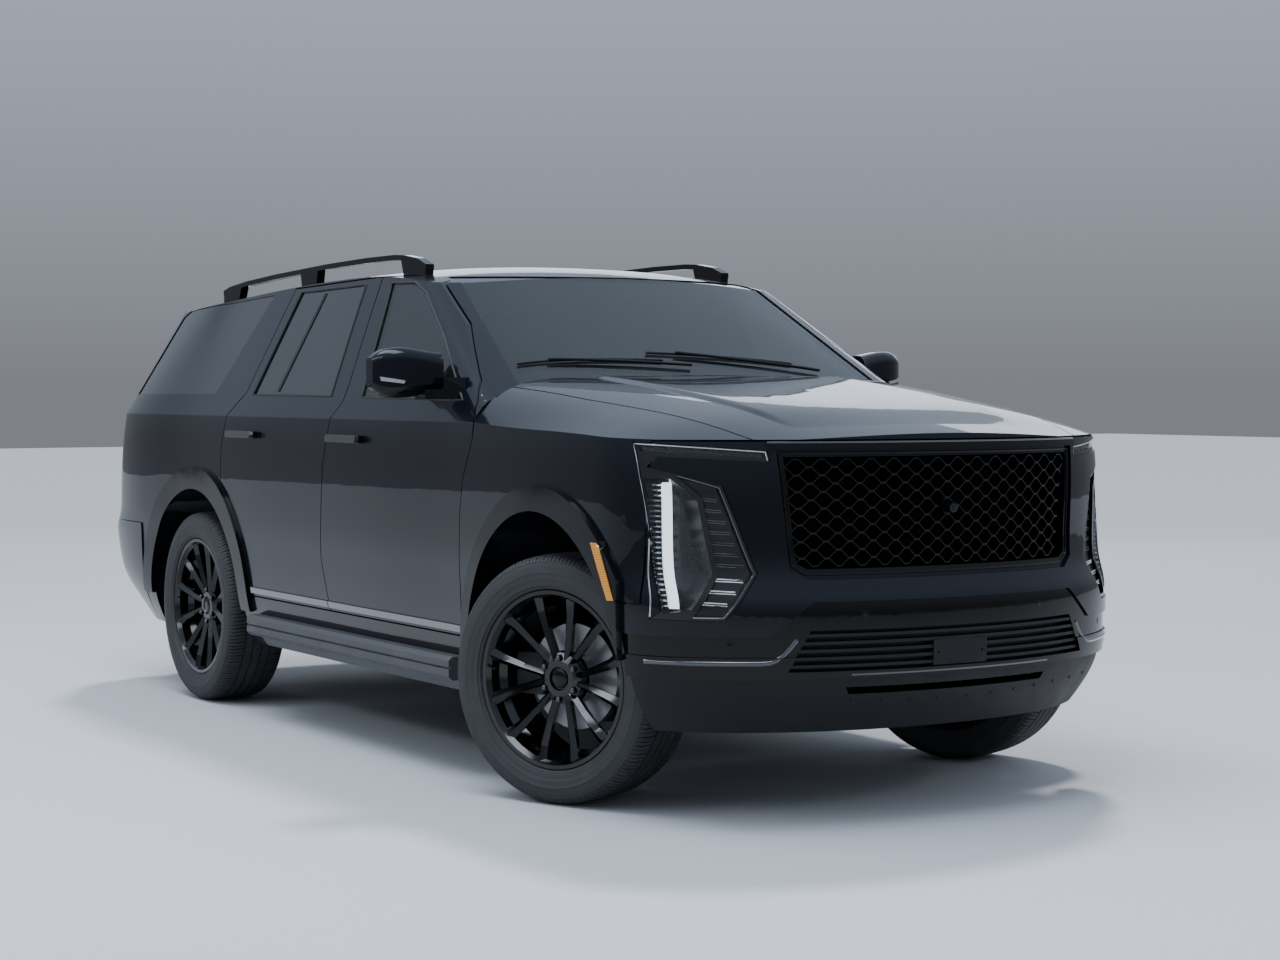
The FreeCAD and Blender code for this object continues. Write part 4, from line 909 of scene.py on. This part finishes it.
ring = [(-0.592, 1.179), (0.592, 1.179), (0.562, 0.830), (0.5215, 0.802), (-0.5215, 0.802), (-0.562, 0.830),
        (-0.592, 1.179)]
bead = tube([nose_run(ring, 0.0005)], 0.0042)
collect("grille_bead", bead, [gloss], "body", 60)
lip = [(y, 1.2135) for y in [-0.628 + 1.256 * i / 40 for i in range(41)]]
collect("hood_lip_bead", tube([eased(nose_run(lip, -0.001))], 0.0034), [bright_black], "body", 60)

camera_place = Vector((on_nose_x(0.0) - 0.006, 0.0, 1.003))
CAMERA = [(0.0, 0.0165), (0.0045, 0.0160), (0.0075, 0.0125), (0.0120, 0.0135), (0.0165, 0.0115),
          (0.0185, 0.0060), (0.0185, -0.018)]
collect("nose_camera", standing(spun(CAMERA, 28), camera_place, (1, 0, -0.12)), [gloss], "body", 40)

mould_line = [(0.948, 0.530), (0.800, 0.530), (0.632, 0.5295), (0.604, 0.556), (0.571, 0.602)]
for side, label in SIDES:
    run = eased(nose_run([(side * y, z) for y, z in mould_line], -0.0055))
    collect("bumper_moulding_" + label, tube([run], 0.0095, sides=4), [bright_black], "body", 60)
strip = [(0.40 - 0.02 * i, 0.490) for i in range(41)]
collect("intake_strip", tube([nose_run(strip, -0.0076)], 0.0085, sides=4), [bright_black], "body", 60)
lamp_edge = [(0.9405, 0.672), (0.9265, 0.947), (0.939, 1.104), (0.943, 1.2085), (0.632, 1.184), (0.627, 1.157)]
collect("lamp_rims", joined("rims", both_tubes(lamp_edge, 0.0028)), [silver_lens], "body", 60)
bezel_edge = [(0.862, 1.110), (0.763, 1.073), (0.6765, 0.806), (0.774, 0.6705), (0.848, 0.6705)]
collect("bezel_beads", joined("beads", both_tubes(bezel_edge, 0.0030)), [bright_black], "body", 60)
print("grille bead", len(bead.polygons), "faces")

# %% [markdown]
# Parking sensors are little discs set flush in the bumper, each with a fine gap round it. The air dam is
# held by a row of push pins along its lower edge. Both are one turned part put on many points of the skin.

# %% Sensors and push pins
SENSOR = [(0.0, 0.0009), (0.0070, 0.0008), (0.0088, 0.0002), (0.0094, -0.0016), (0.0102, -0.0016),
          (0.0106, 0.0004), (0.0122, 0.0002), (0.0126, -0.0036)]
PIN = [(0.0, 0.0030), (0.0035, 0.0028), (0.0058, 0.0014), (0.0064, -0.0020)]


def facing_turn(facing):
    return tuple(facing.to_track_quat("Z", "Y").to_euler())


def set_on(surface, spots):
    return [(place, facing_turn(facing)) for place, facing in (surface(*spot) for spot in spots)]


front_spots = [(side * y, z) for side in (1, -1) for y, z in ((0.354, 0.679), (0.758, 0.585))]
collect("front_sensors", repeat(spun(SENSOR, 24), set_on(on_nose, front_spots), gloss), [gloss], "body",
        40)
dam_spots = [(side * (0.06 + 0.105 * i), 0.392 + 0.0035 * i) for side in (1, -1) for i in range(7)]
collect("dam_pins", repeat(spun(PIN, 12), set_on(on_nose, dam_spots), satin), [satin], "body", 40)
print("sensors", len(front_spots), "pins", len(dam_spots))

# %% [markdown]
# The amber side marker follows the flare's front edge. A patch with a ribbed, clear-coated finish lies on it.

# %% Side markers
marker_meshes, marker_rims = [], []
for side in (1, -1):
    corners = [(2.085, 0.893), (2.176, 0.714), (2.207, 0.7165), (2.126, 0.893)]
    marker_meshes.append(patch(on_flank(side), corners, 0.0032, 0.004, 14, 4))
    corners = [(2.080, 0.899), (2.172, 0.708), (2.2115, 0.711), (2.132, 0.899)]
    marker_rims.append(patch(on_flank(side), corners, 0.0014, 0.004, 14, 4))
collect("side_markers", joined("markers", marker_meshes), [amber], "body", 50)
collect("side_marker_rims", joined("rims", marker_rims), [gloss], "body", 50)
print("side markers", len(marker_meshes))

# %% [markdown]
# The hood is not one plain sheet: a broad raised centre runs forward from the windshield, and its two edges
# are the lines that catch the light. It is a fine grid laid on the hood. Its height is a plateau that falls
# below the skin all round, so the grid's own border never shows.

# %% Raised centre of the hood
def plateau(share):
    share = min(1.0, max(0.0, share))
    return share * share * (3 - 2 * share)


RIDGE_HALF, RIDGE_TAPER, RIDGE_HEIGHT = 0.585, 0.050, 0.0110
RIDGE_BACK, RIDGE_FRONT_GAP = 1.275, 0.085


def hood_centre():
    columns, rows = 96, 72
    points, faces = [], []
    for j in range(rows + 1):
        for i in range(columns + 1):
            half = RIDGE_HALF - RIDGE_TAPER * (j / rows)
            y = half * (2 * i / columns - 1)
            front = on_nose_x(y) - RIDGE_FRONT_GAP
            x = RIDGE_BACK + (front - RIDGE_BACK) * j / rows
            place, facing = on_deck(x, y)
            edge = half - 0.035 - abs(y)
            lift = RIDGE_HEIGHT * plateau(edge / 0.042) * plateau((front - x) / 0.30)
            lift *= plateau((x - RIDGE_BACK) / 0.05)
            points.append(place + Vector((0, 0, lift - 0.0012)))
    row = columns + 1
    for j in range(rows):
        for i in range(columns):
            k = j * row + i
            faces.append((k, k + row, k + row + 1, k + 1))
    top = len(points)
    points += [p - Vector((0, 0, 0.006)) for p in points]
    faces += [tuple(top + i for i in reversed(face)) for face in faces[:rows * columns]]
    rim = grid_rim(columns, rows)
    faces += [(k, n, top + n, top + k) for k, n in zip(rim, rim[1:] + rim[:1])]
    return shape("hood_centre", points, faces)


collect("hood_centre", hood_centre(), [paint], "hood", 60)
print("hood ridge", round(RIDGE_HEIGHT * 1000), "mm high")

# %% [markdown]
# The slot under the plate pad is closed deep inside by a dark screen, painted shade that keeps the floor from
# showing through, with a few slanted vanes in front of it.

# %% Lower slot
def sunk_nose(depth):
    return lambda y, z: (Vector((on_nose_x(y) - depth, y, z)), Vector((1, 0, 0)))


# A near-black sheet set deep in the slot: painted shade that keeps the pale floor from showing through.
shade_sheet = patch(sunk_nose(0.085), [(-0.43, 0.405), (0.43, 0.405), (0.43, 0.465), (-0.43, 0.465)], 0.0, 0.004, 24, 1)
collect("slot_screen", shade_sheet, [painted_shade_black], "body", 40)
vane = rod(0.046, 0.004, 0.020)
vane_places = [((on_nose_x(y) - 0.078, y, 0.4275), (0, 0, 0.5 if y < 0 else -0.5)) for y in
               [-0.36 + 0.09 * i for i in range(9)]]
collect("slot_vanes", repeat(vane, vane_places, satin), [satin], "body", 40)
print("vanes", len(vane_places))

# %% [markdown]
# Every pane sits in a black rubber seal. The seal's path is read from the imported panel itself: it is the
# sharp edge where the outer skin turns into the wall of the window opening. Those edges are chained into
# loops and a thin tube is run along each.

# %% Window seals
def opening_loops(node, middle, facing, low):
    work = bmesh.new()
    work.from_mesh(nodes[node].data)
    bmesh.ops.remove_doubles(work, verts=work.verts, dist=0.00005)
    facing, middle = Vector(facing), Vector(middle)
    links = {}
    for edge in work.edges:
        if len(edge.link_faces) != 2:
            continue
        first, second = sorted(edge.link_faces, key=lambda f: -f.normal.dot(facing))
        centre = (edge.verts[0].co + edge.verts[1].co) / 2
        if centre.z < low or first.normal.dot(facing) < 0.6 or second.normal.dot(facing) > 0.55:
            continue
        inward = middle - centre
        inward -= facing * inward.dot(facing)
        if second.normal.dot(inward) < 0.3 * inward.length or inward.length > 0.75:
            continue
        a, b = edge.verts
        links.setdefault(a.index, []).append(b.index)
        links.setdefault(b.index, []).append(a.index)
    work.verts.ensure_lookup_table()
    seen, loops = set(), []
    for start in links:
        if start in seen:
            continue
        chain, here = [start], start
        seen.add(start)
        while True:
            onward = [n for n in links[here] if n not in seen]
            if not onward:
                break
            here = onward[0]
            seen.add(here)
            chain.append(here)
        if len(chain) > 6:
            loops.append([work.verts[i].co.copy() for i in chain])
    work.free()
    return loops


def run_length(run):
    return sum((a - b).length for a, b in zip(run, run[1:]))


def seal(name, node, middle, facing, low, body, radius=0.0048):
    best = max(opening_loops(node, middle, facing, low), key=run_length)
    inward = [(Vector(middle) - p).normalized() * 0.003 + p for p in best]
    closed = (best[0] - best[-1]).length < 0.06
    collect(name, tube([inward], radius, loop=closed), [seal_rubber], body, 60)
    print(name, len(best), round(run_length(best), 2))


for side, label in SIDES:
    way = (0, side, 0)
    seal("front_seal_" + label, "door_front_" + label, (0.55, 0.85 * side, 1.52), way, BELT_Z,
         "door_front_" + label)
    seal("rear_seal_" + label, "door_rear_" + label, (-0.40, 0.85 * side, 1.56), way, BELT_Z,
         "door_rear_" + label)
    seal("quarter_seal_" + label, "body_shell", (-1.55, 0.85 * side, 1.56), way, BELT_Z, "body")

# %% [markdown]
# The pull handles and the strip along the doors' foot are part of each packed door panel, but they are
# brighter than the paint. They too are told apart by zone: a height, a length and how far out a face stands.

# %% Door handles and strips
def handle_zone(first, last):
    def choose(place, facing):
        grip = first < place.x < last and 1.170 < place.z < 1.205 and abs(place.y) > 1.0125
        strip = 0.5205 < place.z < 0.5475 and abs(facing.y) > 0.5 and abs(place.y) > 0.96
        return 1 if grip or strip else 0
    return choose


for label in ("left", "right"):
    zoned("door_front_" + label, [paint, bright_black], handle_zone(0.055, 0.345))
    zoned("door_rear_" + label, [paint, bright_black], handle_zone(-0.980, -0.690))

# %% [markdown]
# The glass of the rear door is split by a slim upright: ahead of it the pane winds down, behind it a small
# pane is fixed. The upright is a flat bar lying on the outside of the glass.

# %% Rear glass divider
for side, label in SIDES:
    corners = [(-0.594, 1.368), (-0.572, 1.368), (-0.411, 1.770), (-0.431, 1.770)]
    bar = patch(on_flank(side), corners, 0.0035, 0.004, 3, 12)
    collect("glass_divider_" + label, bar, [seal_rubber], "door_rear_" + label, 50)
print("divider", len(bar.polygons), "faces")

# %% [markdown]
# The mirror head is body coloured above and gloss black below, with a slim turn lamp wrapped round its tip.

# %% Mirrors
def mirror_zone(place, facing):
    if facing.x < -0.9 and place.x < 0.80:
        return 2
    return 1 if place.z < 1.392 or facing.z < -0.55 else 0


mirror_glass = machined("mirror_glass", (0.72, 0.75, 0.78), 0.07, 20.0)
for side, label in SIDES:
    zoned("mirror_" + label, [paint, gloss, mirror_glass], mirror_zone)
    shell = skin("mirror_" + label)
    ahead = lambda y, z, shell=shell: meet(shell, (3, y, z), (-1, 0, 0))
    corners = [(side * 1.090, 1.398), (side * 1.163, 1.408), (side * 1.166, 1.423), (side * 1.085, 1.409)]
    lamp = patch(ahead, corners, 0.0022, 0.004, 10, 2)
    collect("mirror_lamp_" + label, lamp, [silver_lens], "door_front_" + label, 60)

# %% [markdown]
# The running board is a grey moulding. Its tread is a run of fine ribs set along the top: one rib, repeated.

# %% Running boards
board_low, board_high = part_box("running_boards")
rib = rod(0.030, 0.004, 0.0012)
for side, label in SIDES:
    spots = []
    for i in range(44):
        for k in range(5):
            spots.append(((board_low[0] + 0.06 + i * 0.040, side * (0.962 + 0.011 * k), board_high[2] - 0.0013),
                          (0, 0, 0)))
    collect("board_ribs_" + label, repeat(rib, spots, satin), [satin], "body", 40)
print("ribs on each board", len(spots))

# %% [markdown]
# At the back, a light guide runs up inside each tall red lamp, a wiper rests under the rear glass, the
# bumper has its own row of sensors and a reflector at each end, and a gloss bar runs across the liftgate.

# %% Tail details
guides = []
for side in (1, -1):
    path = [(0.842 + 0.010 * math.sin(i / 12 * math.pi), 0.84 + i * 0.046) for i in range(9)]
    path += [(0.835 - 0.0275 * k, 1.26 + 0.09 * k) for k in range(1, 5)]
    run = lifted(on_tail, [(side * y, z) for y, z in path], -0.004)
    guides.append(tube([eased(run)], 0.0062))
collect("tail_guides", joined("guides", guides), [tail_glow], "body", 60)

rear_spots = [(side * y, 0.60) for side in (1, -1) for y in (0.28, 0.72)]
collect("rear_sensors", repeat(spun(SENSOR, 24), set_on(on_tail, rear_spots), gloss), [gloss], "body",
        40)
corners = [(0.70, 0.452), (0.86, 0.452), (0.86, 0.486), (0.70, 0.486)]
reflectors = both_sides(on_tail, corners, lift=0.003, under=0.004, across=10, up=2)
collect("rear_reflectors", joined("reflectors", reflectors), [red_lens], "body", 50)


arm = [(0.0, 1.345), (0.10, 1.352), (0.24, 1.362), (0.36, 1.372)]
blade = [(0.06 + 0.03 * i, 1.366 + 0.0012 * i) for i in range(14)]
wiper = joined("wiper", [tube([lifted(on_tail, arm, 0.012)], 0.0055), tube([lifted(on_tail, blade, 0.006)], 0.0040),
                         standing(spun([(0.0, 0.022), (0.012, 0.021), (0.018, 0.012), (0.019, -0.006)], 20),
                                  *on_tail(0.0, 1.343))])
collect("rear_wiper", wiper, [satin], "liftgate", 50)
plate_trim = patch(on_tail, [(-0.30, 1.075), (0.30, 1.075), (0.30, 1.108), (-0.30, 1.108)], 0.006, 0.004, 16, 2)
collect("gate_handle_bar", plate_trim, [bright_black], "liftgate", 50)
print("light guides", len(guides), "rear sensors", len(rear_spots))

# %% [markdown]
# Two wipers lie at the foot of the windshield, each an arm from its pivot and a blade lying on the glass.

# %% Front wipers
for k, (pivot_y, reach) in enumerate(((0.52, -0.60), (-0.06, -0.56))):
    arm = [(1.19 - 0.06 * t - 0.02 * t * t, pivot_y + reach * t) for t in [i / 8 for i in range(9)]]
    blade = [(1.150 - 0.050 * t, pivot_y - 0.10 + (reach - 0.02) * t) for t in [i / 12 for i in range(13)]]
    meshes = [tube([lifted(on_deck, arm, 0.014)], 0.0060), tube([lifted(on_deck, blade, 0.007)], 0.0050)]
    collect("front_wiper_%d" % k, joined("wiper", meshes), [satin], "body", 50)
print("wiper blade points", len(blade))

# %% [markdown]
# Seat cushions are leather pulled over foam. Each starts as a block with its corners drawn in and its face
# crowned, is swollen a little by a cloth simulation with pressure inside, and then gets its sewn channels.
# One simulated cushion of each kind serves every seat of that size.

# %% Padded shapes
def pad_block(width, depth, thick, bolster, cells=10):
    work = bmesh.new()
    bmesh.ops.create_grid(work, x_segments=cells, y_segments=cells, size=0.5)
    bottom = bmesh.ops.extrude_face_region(work, geom=work.faces[:])
    for thing in bottom["geom"]:
        if isinstance(thing, bmesh.types.BMVert):
            thing.co.z = 1.0
    for vert in work.verts:
        u, v, w = vert.co.x * 2, vert.co.y * 2, vert.co.z
        pinch = 1 - 0.06 * abs(u) ** 4 * abs(v) ** 4
        rise = thick * w
        if w > 0.5:
            rise -= thick * 0.22 * (abs(u) ** 6 + abs(v) ** 6)
            rise += bolster * max(0.0, abs(v) - 0.62) / 0.38 * (1 - abs(u) ** 8)
        vert.co = Vector((u * depth / 2 * pinch, v * width / 2 * pinch, rise))
    bmesh.ops.recalc_face_normals(work, faces=work.faces)
    mesh = bpy.data.meshes.new("pad")
    work.to_mesh(mesh)
    work.free()
    return mesh


def swollen(mesh, voxel, cap):
    holder = bpy.data.objects.new("pad", mesh)
    bpy.context.scene.collection.objects.link(holder)
    remesh = holder.modifiers.new("even", "REMESH")
    remesh.mode = "VOXEL"
    remesh.voxel_size = voxel
    start = baked(holder)
    before = [v.co.copy() for v in start.vertices]
    holder = bpy.data.objects.new("pad", start)
    bpy.context.scene.collection.objects.link(holder)
    cloth = holder.modifiers.new("foam", "CLOTH")
    cloth.settings.use_pressure = True
    cloth.settings.uniform_pressure_force = 4.0
    cloth.settings.effector_weights.gravity = 0.0
    cloth.settings.quality = 4
    cloth.settings.tension_stiffness = 18
    cloth.point_cache.frame_start, cloth.point_cache.frame_end = 1, 20
    for step in range(1, 21):
        bpy.context.scene.frame_set(step)
    puffed = baked(holder)
    bpy.context.scene.frame_set(1)
    for vert, old in zip(puffed.vertices, before):
        move = vert.co - old
        if move.length > cap:
            vert.co = old + move.normalized() * cap
    return puffed


def sewn(mesh, depth, width, lines, cross):
    for vert in mesh.vertices:
        if vert.co.z < 0.02:
            continue
        dip = 0.0
        for line in lines:
            dip += 0.006 * math.exp(-((vert.co.y - line) / 0.008) ** 2)
        for line in cross:
            if abs(vert.co.y) < width * 0.31:
                dip += 0.005 * math.exp(-((vert.co.x - line) / 0.008) ** 2)
        vert.co.z -= dip
    holder = bpy.data.objects.new("pad", mesh)
    bpy.context.scene.collection.objects.link(holder)
    finer = holder.modifiers.new("finer", "SUBSURF")
    finer.levels = finer.render_levels = 1
    return baked(holder)


def cushion(width, depth, thick, bolster, channels, voxel=0.011):
    mesh = swollen(pad_block(width - 0.02, depth - 0.02, thick, bolster), voxel, 0.010)
    side_seams = [-width * 0.31, width * 0.31]
    cross = [depth * (i / (channels + 1) - 0.5) * 0.86 for i in range(1, channels + 1)]
    return sewn(mesh, depth, width, side_seams, cross)


SEAT_BASE = cushion(0.52, 0.52, 0.125, 0.020, 4)
SEAT_BACK = cushion(0.52, 0.60, 0.115, 0.022, 5)
HEAD_REST = cushion(0.255, 0.160, 0.085, 0.0, 0, 0.008)
BENCH_BASE = cushion(1.12, 0.52, 0.125, 0.0, 4, 0.014)
BENCH_BACK = cushion(1.12, 0.44, 0.115, 0.0, 4, 0.014)
print("pads", [len(m.polygons) for m in (SEAT_BASE, SEAT_BACK, HEAD_REST, BENCH_BASE, BENCH_BACK)])
LEAN_BACK = math.radians(-15)
BACK_PIVOT = (-0.24, 0.300)


def back_pivot(x, y, floor):
    return Matrix.Translation((x + BACK_PIVOT[0], y, floor + BACK_PIVOT[1])) @ Matrix.Rotation(LEAN_BACK, 4, "Y")


def set_seat(name, x, y, floor, base, back, height, heads, width):
    parts = [(base, Matrix.Translation((x, y, floor + 0.205)))]
    pivot = back_pivot(x, y, floor)
    upright = pivot @ Matrix.Translation((-0.060, 0, height / 2 + 0.005)) @ Matrix.Rotation(math.pi / 2, 4, "Y")
    upright = upright @ Matrix.Scale((height - 0.02) / back[1], 4, (1, 0, 0))
    parts.append((back[0], upright))
    for place in heads:
        head = pivot @ Matrix.Translation((-0.048, place, height + 0.082)) @ Matrix.Rotation(math.pi / 2, 4, "Y")
        parts.append((HEAD_REST, head))
    for k, (source, move) in enumerate(parts):
        mesh = source.copy()
        mesh.transform(move)
        piece = collect("%s_pad_%d" % (name, k), mesh, [leather], "body", 60)


for side, label in SIDES:
    set_seat("front_seat_" + label, 0.25, 0.43 * side, FLOOR, SEAT_BASE, (SEAT_BACK, 0.60), 0.62, [0.0], 0.52)
    set_seat("middle_seat_" + label, -0.64, 0.44 * side, FLOOR, SEAT_BASE, (SEAT_BACK, 0.60), 0.60, [0.0], 0.50)
set_seat("third_seat", -1.50, 0.0, BACK_FLOOR, BENCH_BASE, (BENCH_BACK, 0.44), 0.44, [-0.36, 0.36], 1.12)

# %% [markdown]
# Under the pads stand the seats' hard parts: two runners, a pan and a backshell on each, and the console
# between the front pair. They are blocks with softened edges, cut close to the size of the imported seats.

# %% Seat frames and console
def softened(low, high, radius, segments=3):
    work = bmesh.new()
    bmesh.ops.create_cube(work, size=1.0)
    for vert in work.verts:
        vert.co = Vector([low[k] + (high[k] - low[k]) * (vert.co[k] + 0.5) for k in range(3)])
    bmesh.ops.bevel(work, geom=work.edges[:], offset=radius, segments=segments, profile=0.5, affect="EDGES")
    mesh = bpy.data.meshes.new("block")
    work.to_mesh(mesh)
    work.free()
    return mesh


def hard_parts(x, y, floor, width, height):
    half = width / 2
    meshes = [softened((x - 0.22, y + s * (half - 0.09) - 0.025, floor), (x + 0.21, y + s * (half - 0.09) + 0.025,
                       floor + 0.115), 0.008) for s in (1, -1)]
    meshes.append(softened((x - 0.245, y - half + 0.02, floor + 0.11), (x + 0.245, y + half - 0.02, floor + 0.212),
                           0.020))
    shell = softened((-0.068, -half + 0.015, 0.0), (-0.048, half - 0.015, height - 0.01), 0.008)
    shell.transform(back_pivot(x, y, floor))
    return meshes + [shell]


front_hard = []
for side in (1, -1):
    front_hard += hard_parts(0.25, 0.43 * side, FLOOR, 0.52, 0.62)
front_hard += [softened((0.152, -0.146, FLOOR), (0.698, 0.146, 0.790), 0.020),
               softened((0.156, -0.138, 0.785), (0.400, 0.138, 0.848), 0.022),
               softened((0.430, -0.130, 0.785), (0.690, 0.130, 0.812), 0.010)]
frames = collect("front_seat_frames", joined("front", front_hard), [cabin], "body", 40)
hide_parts("front_seats")
rear_hard = []
for side in (1, -1):
    rear_hard += hard_parts(-0.64, 0.44 * side, FLOOR, 0.50, 0.60)
rear_hard += hard_parts(-1.50, 0.0, BACK_FLOOR, 1.12, 0.44)
frames = collect("rear_seat_frames", joined("rear", rear_hard), [cabin], "body", 40)
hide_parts("rear_seats")
print("hard parts", len(front_hard), len(rear_hard))

# %% [markdown]
# Last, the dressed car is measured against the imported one: nothing may stand outside the box that the
# model fills, because other scenes place it by that box.

# %% Measure and finish
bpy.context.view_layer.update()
for thing in bpy.context.scene.objects:
    if thing.type == "MESH" and "floor" not in thing.name and not thing.hide_render:
        corners = [thing.matrix_world @ Vector(corner) for corner in thing.bound_box]
        over = max(max(c[k] - cad_box[1][k], cad_box[0][k] - c[k]) for c in corners for k in range(3))
        if over > 0.0002:
            print("outside by %.1f mm:" % (over * 1000), thing.name)
